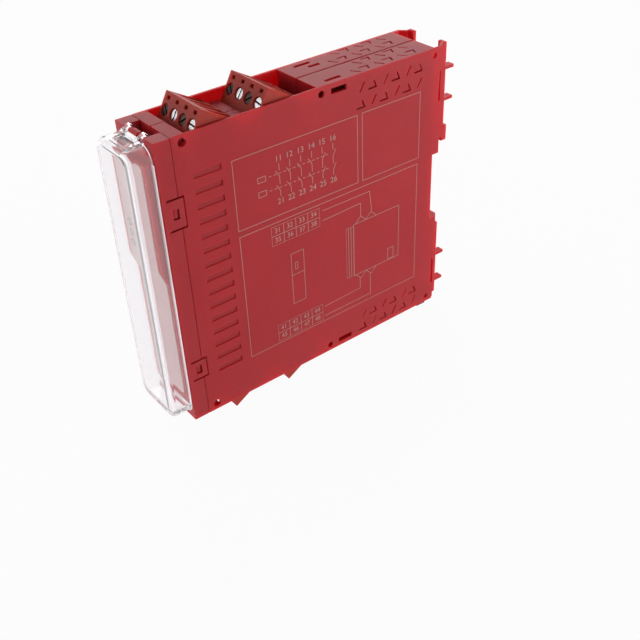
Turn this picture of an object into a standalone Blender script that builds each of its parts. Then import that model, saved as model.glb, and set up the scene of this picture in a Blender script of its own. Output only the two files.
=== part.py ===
"""Safety relay module for a 35 mm rail, modelled piece by piece.

The frame sits on the rail: X runs across the module, Y from the rail seat (0) towards the back,
with the front at -Y, and Z up from the middle of the rail.
"""
import math

import bmesh
import bpy
from mathutils import Matrix, Vector

# Every size below is in millimetres.
MM = 0.001

# Module
WIDTH = 22.5
HEIGHT = 104.0
DEPTH = 114.5
RAIL_ABOVE_BOTTOM = 51.0
SIDE_WALL = 1.0
EDGE_WALL = 1.4
FIT = 0.3
OVERLAP = 0.1

# Rail seat and the back of the housing
RAIL_HEIGHT = 35.0
RAIL_PLAY = 0.2
NOTCH_TOP = 13.4
NOTCH_BOTTOM = 13.2
NOTCH_DEPTH = 4.9
UPPER_RISE = 2.0
LOWER_RISE = 1.25
FLANGE = 1.4
CHANNEL_DEPTH = 5.2
CHANNEL_HALF_WIDTH = 6.2
BACK_SHOULDER = 2.05
HOOK_SLOT = 1.3
HOOK_LIP = 1.5
HOOK_REACH = 3.7
HOOK_HEIGHT = 4.4
HEEL_HEIGHT = 0.8
HEEL_STEP = 2.4
FINGER_THICKNESS = 1.2
FINGER_WIDTH = 1.6
FINGER_LIP = 2.2
FINGER_REACH = 4.1
FINGER_DROPS = (9.5, 21.0)
FINGER_RISES = (18.4, 6.2)
BACK_SLOT_WIDTH = 0.8
BACK_SLOT_LENGTH = 11.0
BACK_SLOT_LIFT = 1.2
BACK_SLOT_DEPTH = 1.5

# Front bezel
BEZEL_DEPTH = 5.3
BEZEL_WALL = 1.6
PANEL_HALF_WIDTH = 8.9
PANEL_LOW_RISE = 1.0
PANEL_HIGH_RISE = 3.0
PANEL_TOP_MARGIN = 7.0
PANEL_BOTTOM_MARGIN = 9.8
PANEL_STEP_START = 3.0
PANEL_STEP_HEIGHT = 6.0
SNAP_DROP = 24.25
SNAP_RISE = 20.3
SNAP_UPPER_HEIGHT = 10.9
SNAP_LOWER_HEIGHT = 8.2
SNAP_REACH = 1.9
SNAP_SLOT = 0.6
SNAP_SLOT_FRONT = 1.5
CATCH_FRONT = 3.5
CATCH_LENGTH = 1.5
CATCH_HEIGHT = 2.8

# Cover hinge
HINGE_BACK = 1.1
HINGE_DROP = 1.15
PIN_RADIUS = 1.0
PIN_CLEARANCE = 0.1
EYE_WALL = 0.7
EYE_CENTRE_X = 4.4
EYE_WIDTH = 1.8
EYE_MOUTH = 1.5
LUG_HALF_WIDTH = 1.8
HINGE_NOTCH_HALF_WIDTH = 6.0
HINGE_NOTCH_DROP = 3.6

# Clear cover
COVER_DEPTH = 7.8
COVER_GAP = 0.4
COVER_WALL = 1.2
COVER_SIDE_INSET = 0.75
COVER_TOP_DROP = 1.6
COVER_BOTTOM_RISE = 3.8
COVER_CORNER = 5.0
COVER_FOOT_CORNER = 2.6
COVER_EDGE = 2.4
COVER_FOOT_WALL = 2.4
LATCH_HALF_WIDTH = 3.0
LATCH_REACH = 1.2
LATCH_THICKNESS = 1.2

# Terminal bays
TILT = math.radians(30.0)
APEX_RISE = 4.7
FIRST_APEX = 17.6
PLUG_PITCH = 23.4
BAY_FRONT = 10.4
BAY_REAR = 58.6
BAY_FLOOR = 12.2
BAY_LIP_DROP = 3.4
BAY_LIP_GAP = 1.2
BAY_WALL_GAP = 0.7
MOUTH_MARGIN = 6.0

# Terminal plugs
POLES = 4
PLUG_LENGTH = 15.0
PLUG_BODY = 10.5
TONGUE_FRONT = 4.0
TONGUE_REAR = 12.0
TONGUE_LENGTH = 6.5
TONGUE_SIDE_INSET = 1.9
SOCKET_SIZE = 1.6
SCREW_DOWN = 5.5
HEAD_CLEARANCE = 0.2
HEAD_RADIUS = 1.8
HEAD_HEIGHT = 1.5
HEAD_RECESS = 1.1
HEAD_SLOT_WIDTH = 0.5
HEAD_SLOT_DEPTH = 0.8
HEAD_TURN = 0.8
SHANK_RADIUS = 1.2
SHANK_CLEARANCE = 0.25
SHOULDER = 1.4
CAGE_SIDE_INSET = 0.45
CAGE_LENGTH = 6.2
CAGE_HEIGHT = 4.6
CAGE_NUT_WALL = 1.4
CAGE_FOOT_WALL = 0.8
CAGE_SIDE_WALL = 0.6
CAGE_TRAVEL = 2.5
TEST_SLOT_DOWN = 1.7
TEST_SLOT_WIDTH = 1.7
TEST_SLOT_HEIGHT = 1.2
TEST_SLOT_DEPTH = 1.0
FUNNEL_FRONT = 3.4
FUNNEL_REAR = 13.4
FUNNEL_DEPTH = 0.8
FUNNEL_RIB = 0.8

# Pin headers
HEADER_WALL = 0.9
HEADER_BASE = 3.0
HEADER_RIM_GAP = 0.5
PIN_SIZE = 1.0
PIN_LENGTH = 4.8

# Rail clip
CLIP_HALF_WIDTH = 7.75
CLIP_LENGTH = 39.0
CLIP_THICKNESS = 2.4
CLIP_DROP = 3.9
CLIP_FOOT_REACH = 2.0
CLIP_RAIL = 2.0
CLIP_END = 2.2
CLIP_NOSE_HALF_WIDTH = 5.6
CLIP_NOSE_HEIGHT = 4.2
CLIP_NOSE_BAR = 7.4
CLIP_NOSE_REACH = 3.3
CLIP_NOSE_LIP = 2.0
CLIP_WINDOW_HALF_WIDTH = 3.6
CLIP_WINDOW_HEIGHT = 2.2
CLIP_RING_CENTRE = 6.2
CLIP_RING_RADIUS = 3.2
CLIP_RING_BORE = 1.6
CLIP_NECK = 2.5
CLIP_NOSE_CHAMFER = 0.6
FLEX_START = 12.4
FLEX_LENGTH = 12.0
FLEX_BAR = 1.1
FLEX_BAR_X = 2.4
FLEX_NUB_LENGTH = 1.4
DETENT_HALF_WIDTH = 1.3
DETENT_HEIGHT = 1.6
DETENT_ALONG = 15.0

# Vents and holes in the shell
VENT_WIDTH = 0.5
VENT_RUN = 2.0
VENT_RISE = 3.1
BENT_VENT_AFTER = 3.6
BENT_VENT_LENGTH = 3.4
BENT_VENT_SKEW = 0.1
BENT_VENT_RISE = 2.5
BENT_VENT_RETURN = 1.0
VENT_PITCH = 10.15
VENT_COUNT = 3
VENT_DROPS = (6.2, 11.7)
VENT_RISES = (7.7, 2.4)
VENT_BACK = 38.8
ROOF_VENT_BACK = 34.2
ROOF_VENT_FIRST = 1.5
ROOF_VENT_REACH = 3.0
ROOF_VENT_PITCH = 5.4
JOIN_HOLE_RADII = (1.4, 1.2, 1.0)
JOIN_HOLE_EDGE = 2.5
JOIN_HOLE_FRONT = 9.2
JOIN_HOLE_MIDDLE = 60.0
JOIN_HOLE_BACK = 5.6
SIDE_SLOT_FRONT = 63.9
SIDE_SLOT_LENGTH = 6.3
SIDE_SLOT_HEIGHT = 1.9
SIDE_SLOT_EDGE = 1.7
ROOF_WINDOW_WIDTH = 1.4
ROOF_WINDOW_SIDE = 1.4
SLOT_SCREEN_SIDE = 4.0
SLOT_SCREEN_HEIGHT = 6.0
MIDDLE_WINDOW_X = -4.9
MIDDLE_WINDOW_FRONT = 67.5
MIDDLE_WINDOW_LENGTH = 4.4

# Boards and what they carry
BOARD_THICKNESS = 1.6
BOARD_SIDE_GAP = 1.35
BOARD_FRONT = 10.0
BOARD_BACK_GAP = 0.6
BOARD_HALF_HEIGHT = 29.5
BOARD_TAIL_FRONT = 61.5
BOARD_TAIL_MARGIN = 3.0
PEG_SIZE = 4.0
RELAY_LENGTH = 28.0
RELAY_HEIGHT = 12.6
RELAY_RISE = 15.4
RELAY_FRONT = 18.0
RELAY_SPLIT = 3.0
TRANSFORMER_SIZE = 20.0
TRANSFORMER_RISE = 15.0
TRANSFORMER_FRONT = 70.0
TRANSFORMER_HEIGHT = 13.0
CAPACITOR_RADIUS = 5.0
CAPACITOR_RISE = 14.0
CAPACITOR_FRONT = 74.0
CAPACITOR_PITCH = 15.0
CAPACITOR_DROP = 22.0
VARISTOR_RADIUS = 4.5
VARISTOR_RISE = 4.0
VARISTOR_FRONT = 56.0
INDICATOR_X = -4.5
INDICATOR_BASE = 14.5
INDICATOR_PITCH = 3.7
LIGHT_PIPE_RADIUS = 1.1
LIGHT_PIPE_CLEARANCE = 0.1
LIGHT_PIPE_PROUD = 0.2
LED_HALF_SIZE = 0.9
LED_DEPTH = 1.0
INDICATOR_BOARD_DEPTH = 1.0
INDICATOR_BOARD_MARGIN = 2.4

FINE_ROUND_STEPS = 24
ROUND_STEPS = 16
SMALL_ROUND_STEPS = 12
CUT = 5.0

# Places worked out from the sizes above
HALF_WIDTH = WIDTH / 2
INNER_X = HALF_WIDTH - SIDE_WALL
BOTTOM = -RAIL_ABOVE_BOTTOM
TOP = BOTTOM + HEIGHT
MIDDLE = (TOP + BOTTOM) / 2
FRONT = -DEPTH
SHELL_FRONT = FRONT + BEZEL_DEPTH + FIT
RAIL_EDGE = RAIL_HEIGHT / 2 + RAIL_PLAY
SNAP_UPPER = TOP - SNAP_DROP
SNAP_LOWER = BOTTOM + SNAP_RISE
FINGER_HEIGHTS = tuple(TOP - drop for drop in FINGER_DROPS) + tuple(BOTTOM + rise for rise in FINGER_RISES)
HINGE_Y = FRONT + HINGE_BACK
HINGE_Z = TOP - HINGE_DROP
EYE_BORE = PIN_RADIUS + PIN_CLEARANCE
EYE_RADIUS = EYE_BORE + EYE_WALL
COVER_BACK = FRONT - COVER_GAP
COVER_FRONT = COVER_BACK - COVER_DEPTH
COVER_TOP = TOP - COVER_TOP_DROP
COVER_FOOT = BOTTOM + COVER_BOTTOM_RISE
COVER_HALF_WIDTH = HALF_WIDTH - COVER_SIDE_INSET
LATCH_Z = COVER_FOOT + COVER_FOOT_WALL / 2
PLUG_HALF_WIDTH = INNER_X - FIT
POLE_PITCH = 2 * PLUG_HALF_WIDTH / POLES
TONGUE_HALF_WIDTH = PLUG_HALF_WIDTH - TONGUE_SIDE_INSET
TONGUE_END = PLUG_BODY + TONGUE_LENGTH
SOCKET_ALONG = (TONGUE_FRONT + TONGUE_REAR) / 2
SHOULDER_FRONT = HEAD_RECESS + HEAD_HEIGHT + FIT
CHAMBER_FRONT = SHOULDER_FRONT + SHOULDER
CAGE_FRONT = CHAMBER_FRONT + FIT + CAGE_TRAVEL
CAGE_REAR = CAGE_FRONT + CAGE_LENGTH
CAGE_HALF_WIDTH = POLE_PITCH / 2 - CAGE_SIDE_INSET - FIT / 2
WIRE_FRONT = CAGE_FRONT + CAGE_NUT_WALL
WIRE_REAR = CAGE_REAR - CAGE_FOOT_WALL
SCREW_TIP = WIRE_FRONT + FIT
CHAMBER_REAR = CAGE_REAR + FIT
CHAMBER_HALF_WIDTH = CAGE_HALF_WIDTH + FIT / 2
CHAMBER_HALF_HEIGHT = (CAGE_HEIGHT + FIT) / 2
HEADER_FRONT = TONGUE_FRONT - FIT - HEADER_WALL
HEADER_REAR = TONGUE_REAR + FIT + HEADER_WALL
HEADER_HALF_WIDTH = TONGUE_HALF_WIDTH + FIT + HEADER_WALL
HEADER_FLOOR = -TONGUE_END - FIT
CLIP_FACE = FIT - CHANNEL_DEPTH
CLIP_BACK = CLIP_FACE + CLIP_THICKNESS
CLIP_FOOT_Z = BOTTOM - CLIP_DROP
FLANGE_X = HALF_WIDTH - BACK_SHOULDER - OVERLAP
KNUCKLE_RADIUS = PIN_RADIUS + EYE_WALL / 2
BOARD_X = -INNER_X + BOARD_SIDE_GAP
BOARD_FACE = BOARD_X + BOARD_THICKNESS
BOARD_BACK = -CHANNEL_DEPTH - EDGE_WALL - BOARD_BACK_GAP
INDICATOR_BACK = FRONT + BOARD_FRONT - FIT
INDICATOR_FACE = INDICATOR_BACK - INDICATOR_BOARD_DEPTH
LED_BACK = INDICATOR_FACE - FIT
LED_FACE = LED_BACK - LED_DEPTH
INDICATOR_HEIGHTS = tuple(MIDDLE + INDICATOR_BASE + i * INDICATOR_PITCH for i in range(3))

# Directions for flat outlines: two axes in the plane, then the one across it
SIDE_VIEW = Matrix(((0, 0, 1, 0), (1, 0, 0, 0), (0, 1, 0, 0), (0, 0, 0, 1)))
FRONT_VIEW = Matrix(((1, 0, 0, 0), (0, 0, -1, 0), (0, 1, 0, 0), (0, 0, 0, 1)))
PLAN_VIEW = Matrix.Identity(4)

for old in list(bpy.data.objects):
    bpy.data.objects.remove(old, do_unlink=True)

PARTS = bpy.data.collections.new("safety_relay_module")
CUTTERS = bpy.data.collections.new("cutters")
bpy.context.scene.collection.children.link(PARTS)
bpy.context.scene.collection.children.link(CUTTERS)


def tool_object(name, data):
    """A cutter or a piece to be joined, kept out of the finished model."""
    tool = bpy.data.objects.new(name, data)
    tool.hide_render = True
    tool.display_type = "WIRE"
    CUTTERS.objects.link(tool)
    return tool


def mesh_from(name, bm):
    bmesh.ops.recalc_face_normals(bm, faces=bm.faces)
    mesh = bpy.data.meshes.new(name)
    bm.to_mesh(mesh)
    bm.free()
    return mesh


def boxes(name, corners, place=PLAN_VIEW):
    """Separate boxes in one tool, each from its low corner to its high corner."""
    bm = bmesh.new()
    for low, high in corners:
        low = Vector(low) * MM
        high = Vector(high) * MM
        size = Matrix.Diagonal((*(high - low), 1.0))
        bmesh.ops.create_cube(bm, size=1.0, matrix=place @ Matrix.Translation((low + high) / 2) @ size)
    return tool_object(name, mesh_from(name, bm))


def cylinders(name, ends, radius, place=PLAN_VIEW, steps=SMALL_ROUND_STEPS):
    """Separate round bars in one tool, each from the middle of one end to the middle of the other."""
    bm = bmesh.new()
    for start, end in ends:
        start = Vector(start) * MM
        end = Vector(end) * MM
        turn = (end - start).to_track_quat("Z", "Y").to_matrix().to_4x4()
        bmesh.ops.create_cone(
            bm, cap_ends=True, segments=steps, radius1=radius * MM, radius2=radius * MM,
            depth=(end - start).length, matrix=place @ Matrix.Translation((start + end) / 2) @ turn)
    return tool_object(name, mesh_from(name, bm))


def plate(name, loops, low, high, view, holes=False):
    """Flat outlines, with any holes in them, drawn as a 2D curve and given a thickness from low to high."""
    curve = bpy.data.curves.new(name, "CURVE")
    curve.dimensions = "2D"
    curve.fill_mode = "BOTH"
    curve.extrude = (high - low) / 2 * MM
    for loop in loops:
        spline = curve.splines.new("POLY")
        spline.points.add(len(loop) - 1)
        spline.use_cyclic_u = True
        for point, (a, b) in zip(spline.points, loop):
            point.co = (a * MM, b * MM, 0.0, 1.0)
    drawn = tool_object(name + "_outline", curve)
    depsgraph = bpy.context.evaluated_depsgraph_get()
    flat = bpy.data.meshes.new_from_object(drawn.evaluated_get(depsgraph))
    bm = bmesh.new()
    bm.from_mesh(flat)
    bmesh.ops.remove_doubles(bm, verts=bm.verts, dist=0.001 * MM)
    if not holes:
        bmesh.ops.dissolve_limit(bm, angle_limit=math.radians(0.1), verts=bm.verts, edges=bm.edges)
    bmesh.ops.translate(bm, verts=bm.verts, vec=(0.0, 0.0, (low + high) / 2 * MM))
    bmesh.ops.transform(bm, verts=bm.verts, matrix=view)
    bpy.data.objects.remove(drawn, do_unlink=True)
    bpy.data.curves.remove(curve)
    bpy.data.meshes.remove(flat)
    return tool_object(name, mesh_from(name, bm))


def turned(name, profile, place=PLAN_VIEW, steps=SMALL_ROUND_STEPS):
    """A turned piece: a profile of (radius, height) points spun about the height axis."""
    mesh = bpy.data.meshes.new(name)
    points = [(radius * MM, 0.0, height * MM) for radius, height in profile]
    mesh.from_pydata(points, [(i, i + 1) for i in range(len(points) - 1)], [])
    piece = tool_object(name, mesh)
    spin = piece.modifiers.new("spin", "SCREW")
    spin.steps = steps
    spin.render_steps = steps
    spin.use_merge_vertices = True
    spin.merge_threshold = 0.001 * MM
    bake(piece)
    bm = bmesh.new()
    bm.from_mesh(piece.data)
    bmesh.ops.remove_doubles(bm, verts=bm.verts, dist=0.001 * MM)
    bmesh.ops.transform(bm, verts=bm.verts, matrix=place)
    piece.data = mesh_from(name, bm)
    return piece


def bake(piece):
    """Turn an object's modifiers into its mesh."""
    depsgraph = bpy.context.evaluated_depsgraph_get()
    mesh = bpy.data.meshes.new_from_object(piece.evaluated_get(depsgraph))
    piece.modifiers.clear()
    piece.data = mesh


def shape(base, steps):
    """Join tools to a base and cut tools out of it, in the order given, and remove the tools."""
    for operation, tool in steps:
        modifier = base.modifiers.new(tool.name, "BOOLEAN")
        modifier.operation = operation
        modifier.solver = "EXACT"
        modifier.object = tool
    bake(base)
    for _, tool in steps:
        bpy.data.objects.remove(tool, do_unlink=True)
    return base


def joined(*tools):
    return [("UNION", tool) for tool in tools]


def cut_by(*tools):
    return [("DIFFERENCE", tool) for tool in tools]


def finished(name, piece, finish, origin=(0.0, 0.0, 0.0)):
    """The mesh of a finished piece, about the origin it is to have."""
    mesh = piece.data
    mesh.name = name
    mesh.transform(Matrix.Translation(Vector(origin) * -MM))
    mesh.materials.clear()
    mesh.materials.append(finish)
    mesh.shade_smooth()
    mesh.set_sharp_from_angle(angle=math.radians(30.0))
    bpy.data.objects.remove(piece, do_unlink=True)
    return mesh


def placed(name, mesh, matrix):
    piece = bpy.data.objects.new(name, mesh)
    piece.matrix_world = matrix
    PARTS.objects.link(piece)
    return piece


def part(name, piece, finish, origin=(0.0, 0.0, 0.0)):
    return placed(name, finished(name, piece, finish, origin), Matrix.Translation(Vector(origin) * MM))


def material(name, colour, roughness, metallic=0.0, transmission=0.0):
    made = bpy.data.materials.new(name)
    made.use_nodes = True
    shader = made.node_tree.nodes["Principled BSDF"]
    shader.inputs["Base Color"].default_value = (*colour, 1.0)
    shader.inputs["Roughness"].default_value = roughness
    shader.inputs["Metallic"].default_value = metallic
    shader.inputs["Transmission Weight"].default_value = transmission
    return made


HOUSING_RED = material("housing_red", (0.42, 0.015, 0.02), 0.45)
BEZEL_RED = material("bezel_red", (0.42, 0.015, 0.02), 0.4)
PLUG_RED = material("plug_red", (0.33, 0.025, 0.02), 0.5)
CLEAR = material("clear_polycarbonate", (0.95, 0.95, 0.96), 0.05, transmission=1.0)
BLACK_PLASTIC = material("black_plastic", (0.02, 0.018, 0.017), 0.5)
PLATED_STEEL = material("plated_steel", (0.75, 0.75, 0.77), 0.25, metallic=1.0)
CAGE_STEEL = material("cage_steel", (0.6, 0.58, 0.52), 0.35, metallic=1.0)
BOARD_GREEN = material("board_green", (0.02, 0.12, 0.05), 0.45)
RELAY_CASE = material("relay_case", (0.75, 0.75, 0.72), 0.4)
COIL_TAPE = material("coil_tape", (0.65, 0.5, 0.1), 0.4)
SLEEVE = material("capacitor_sleeve", (0.03, 0.03, 0.05), 0.35)
VARISTOR_BLUE = material("varistor_blue", (0.05, 0.15, 0.45), 0.4)
LED_LENS = material("led_lens", (0.7, 0.75, 0.6), 0.3)


def inset(loop, distance):
    """A closed outline with every edge moved inwards by the same distance."""
    count = len(loop)
    corners = [Vector(point) for point in loop]
    area = sum(corners[i - 1].x * corners[i].y - corners[i].x * corners[i - 1].y for i in range(count))
    turn = 1.0 if area > 0 else -1.0
    moved = []
    for i in range(count):
        before = (corners[i] - corners[i - 1]).normalized()
        after = (corners[(i + 1) % count] - corners[i]).normalized()
        in_before = Vector((-before.y, before.x)) * turn
        in_after = Vector((-after.y, after.x)) * turn
        reach = distance / (1.0 + in_before.dot(in_after))
        moved.append(tuple(corners[i] + (in_before + in_after) * reach))
    return moved


def mirrored(loop):
    """The outline of the lower half for one drawn on the upper half, walked the same way round."""
    return [(y, 2 * MIDDLE - z) for y, z in reversed(loop)]


def rounded_rectangle(low, high, radii, steps=6):
    """A rectangle with its four corners rounded, from the one at high round to the one below it."""
    loop = []
    corners = (
        (high[0], high[1], -1, -1), (low[0], high[1], 1, -1),
        (low[0], low[1], 1, 1), (high[0], low[1], -1, 1))
    for corner, (radius, (a, b, to_a, to_b)) in enumerate(zip(radii, corners)):
        for i in range(steps + 1):
            angle = math.pi / 2 * (corner + i / steps)
            loop.append((a + radius * (to_a + math.cos(angle)), b + radius * (to_b + math.sin(angle))))
    return loop


def circle(a, b, radius, start=0.0, sweep=2 * math.pi, steps=ROUND_STEPS):
    angles = [start + sweep * i / steps for i in range(steps)]
    return [(a + radius * math.cos(angle), b + radius * math.sin(angle)) for angle in angles]


def plug_place(level, row):
    """From a plug's own axes to the module: X across, Y back along the wire face, Z out of the bay."""
    cosine = math.cos(TILT)
    sine = math.sin(TILT)
    apex_y = (FRONT + FIRST_APEX + row * PLUG_PITCH) * MM
    apex_z = (TOP + APEX_RISE - MIDDLE) * MM
    upright = Matrix(((1, 0, 0, 0), (0, cosine, sine, apex_y), (0, -sine, cosine, apex_z), (0, 0, 0, 1)))
    to_middle = Matrix.Translation((0.0, 0.0, MIDDLE * MM))
    if level == "top":
        return to_middle @ upright
    return to_middle @ Matrix.Rotation(math.pi, 4, "Y") @ upright


def bay_point(row, along, out):
    """A point of the upper bay in side view, from its place in the axes of a plug."""
    place = plug_place("top", row) @ Vector((0.0, along * MM, out * MM))
    return (place.y / MM, place.z / MM)


def bay_profile():
    """The floor of the upper terminal bay in side view, from its front edge to its rear edge."""
    front = FRONT + BAY_FRONT
    rear = FRONT + BAY_REAR
    slope = math.tan(TILT)
    start = bay_point(0, 0.0, -BAY_FLOOR)
    rear_wall = PLUG_LENGTH + BAY_WALL_GAP
    first_end = bay_point(0, rear_wall, -BAY_FLOOR)
    lip = TOP - BAY_LIP_DROP
    second_start = bay_point(1, -BAY_LIP_GAP, -BAY_FLOOR)
    second_end = bay_point(1, rear_wall, -BAY_FLOOR)
    return [
        (front, TOP), (front, start[1] + (start[0] - front) * slope), first_end,
        (first_end[0] + (lip - first_end[1]) * slope, lip),
        (second_start[0] + (lip - second_start[1]) * slope, lip),
        second_start, second_end, (rear, second_end[1]), (rear, TOP)]


def back_profile():
    """The back of the housing in side view, from the top down: hook, rail seat, notch, lower seat, heel."""
    hook = RAIL_EDGE + HOOK_HEIGHT
    heel = BOTTOM + HEEL_HEIGHT
    return [
        (UPPER_RISE, TOP), (UPPER_RISE, hook), (HOOK_REACH, hook), (HOOK_REACH, RAIL_EDGE - HOOK_LIP),
        (HOOK_SLOT, RAIL_EDGE - HOOK_LIP), (HOOK_SLOT, RAIL_EDGE), (0.0, RAIL_EDGE), (0.0, NOTCH_TOP),
        (-NOTCH_DEPTH, NOTCH_TOP), (-NOTCH_DEPTH, -NOTCH_BOTTOM), (0.0, -NOTCH_BOTTOM), (0.0, -RAIL_EDGE),
        (LOWER_RISE, -RAIL_EDGE), (LOWER_RISE, heel), (-HEEL_STEP, heel), (-HEEL_STEP, BOTTOM)]


def stroke(points):
    """A slit of even width along a line of two or three points."""
    half = VENT_WIDTH / 2
    path = [Vector(point) for point in points]
    left = []
    right = []
    for i, point in enumerate(path):
        before = (point - path[i - 1]).normalized() if i else (path[1] - point).normalized()
        after = (path[i + 1] - point).normalized() if i + 1 < len(path) else before
        bend = (before + after).normalized()
        across = Vector((-bend.y, bend.x)) * (half / bend.dot(before))
        left.append(tuple(point + across))
        right.append(tuple(point - across))
    return left + right[::-1]


def side_vents():
    """Rows of straight and bent slits near the top and bottom, every second row half a pitch further on."""
    loops = []
    heights = [TOP - drop for drop in VENT_DROPS] + [BOTTOM + rise for rise in VENT_RISES]
    for row, z in enumerate(heights):
        shift = VENT_PITCH / 2 * (row % 2)
        for i in range(VENT_COUNT):
            y = -VENT_BACK + i * VENT_PITCH
            bent = y + BENT_VENT_AFTER - shift
            corner = bent + BENT_VENT_LENGTH
            loops.append(stroke([(y + shift, z), (y + shift + VENT_RUN, z + VENT_RISE)]))
            loops.append(stroke([
                (bent, z), (corner, z + BENT_VENT_SKEW), (corner - BENT_VENT_RETURN, z + BENT_VENT_RISE)]))
    return loops


def roof_vents(first):
    """Two columns of slits in the roof of the vent block, the first one at the given place across."""
    loops = []
    for column in (0, 1):
        x = first + column * ROOF_VENT_PITCH
        shift = VENT_PITCH / 2 * column
        for i in range(VENT_COUNT):
            y = -ROOF_VENT_BACK + i * VENT_PITCH - shift
            bent = y + BENT_VENT_AFTER
            corner = bent + BENT_VENT_LENGTH
            loops.append(stroke([(x, y), (x + ROOF_VENT_REACH, y + VENT_RUN)]))
            if i + 1 < VENT_COUNT or column:
                end = (x + BENT_VENT_RISE, corner - BENT_VENT_RETURN)
                loops.append(stroke([(x, bent), (x + BENT_VENT_SKEW, corner), end]))
    return plate("roof_vents", loops, TOP - 2 * EDGE_WALL, TOP + CUT, PLAN_VIEW)


def housing_half():
    """One half shell, on the +X side of the joint, without what only one of the two halves has."""
    profile = bay_profile()
    channel = -CHANNEL_DEPTH
    silhouette = [(SHELL_FRONT, TOP)] + back_profile() + [(SHELL_FRONT, BOTTOM)]
    section = [(SHELL_FRONT, TOP)] + profile + [(channel, TOP), (channel, BOTTOM)]
    section += mirrored(profile) + [(SHELL_FRONT, BOTTOM)]
    bay = profile + [(profile[-1][0], TOP + CUT), (profile[0][0], TOP + CUT)]
    shell = plate("shell", [silhouette], FIT / 2, HALF_WIDTH, SIDE_VIEW)
    bays = plate("bays", [bay, mirrored(bay)], -CUT, INNER_X, SIDE_VIEW)
    cavity = plate("cavity", [inset(section, EDGE_WALL)], -CUT, INNER_X, SIDE_VIEW)
    mouth = boxes("mouth", [(
        (-CUT, SHELL_FRONT - CUT, BOTTOM + MOUTH_MARGIN),
        (INNER_X, SHELL_FRONT + 2 * EDGE_WALL, TOP - MOUTH_MARGIN))])
    clip_channel = boxes("clip_channel", [(
        (-CUT, channel, BOTTOM - CUT), (CHANNEL_HALF_WIDTH, HOOK_REACH + CUT, TOP + CUT))])
    corner = plate("corner", [[
        (HALF_WIDTH + SIDE_WALL, -BACK_SHOULDER - SIDE_WALL), (HALF_WIDTH + SIDE_WALL, HOOK_REACH + CUT),
        (FLANGE_X, HOOK_REACH + CUT), (FLANGE_X, OVERLAP)]], BOTTOM - CUT, TOP + CUT, PLAN_VIEW)
    cuts = cut_by(bays, cavity, mouth, clip_channel, corner)
    cuts += cut_by(*back_pockets(), *header_windows(), *shell_holes())
    return shape(shell, cuts + joined(*clip_guides(), *catches()))


def back_pockets():
    """The undercuts behind the back flanges: an open one above the hook, and the clip's own at the foot."""
    start = CHANNEL_HALF_WIDTH - OVERLAP
    half_wall = SIDE_WALL / 2
    upper = plate("upper_pocket", [[
        (start, -CHANNEL_DEPTH), (INNER_X, -CHANNEL_DEPTH), (INNER_X, -BACK_SHOULDER - half_wall),
        (FLANGE_X - SIDE_WALL, -half_wall), (FLANGE_X - SIDE_WALL, UPPER_RISE - FLANGE),
        (start, UPPER_RISE - FLANGE)]], RAIL_EDGE + HOOK_HEIGHT + EDGE_WALL, TOP + CUT, PLAN_VIEW)
    lower = boxes("lower_pocket", [(
        (start, -CHANNEL_DEPTH, BOTTOM - CUT), (CLIP_HALF_WIDTH + FIT, CLIP_BACK + FIT, -RAIL_EDGE))])
    return upper, lower


def header_windows():
    """Openings in the bay floors that the pin headers stand in."""
    reach = HEADER_HALF_WIDTH + FIT
    windows = []
    for level, low_x, high_x in (("top", -CUT, reach), ("bottom", -reach, CUT)):
        for row in (0, 1):
            windows.append(boxes("window", [(
                (low_x, HEADER_FRONT - FIT, -BAY_FLOOR - 2 * EDGE_WALL),
                (high_x, HEADER_REAR + FIT, -BAY_FLOOR + EDGE_WALL))], plug_place(level, row)))
    return windows


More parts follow.
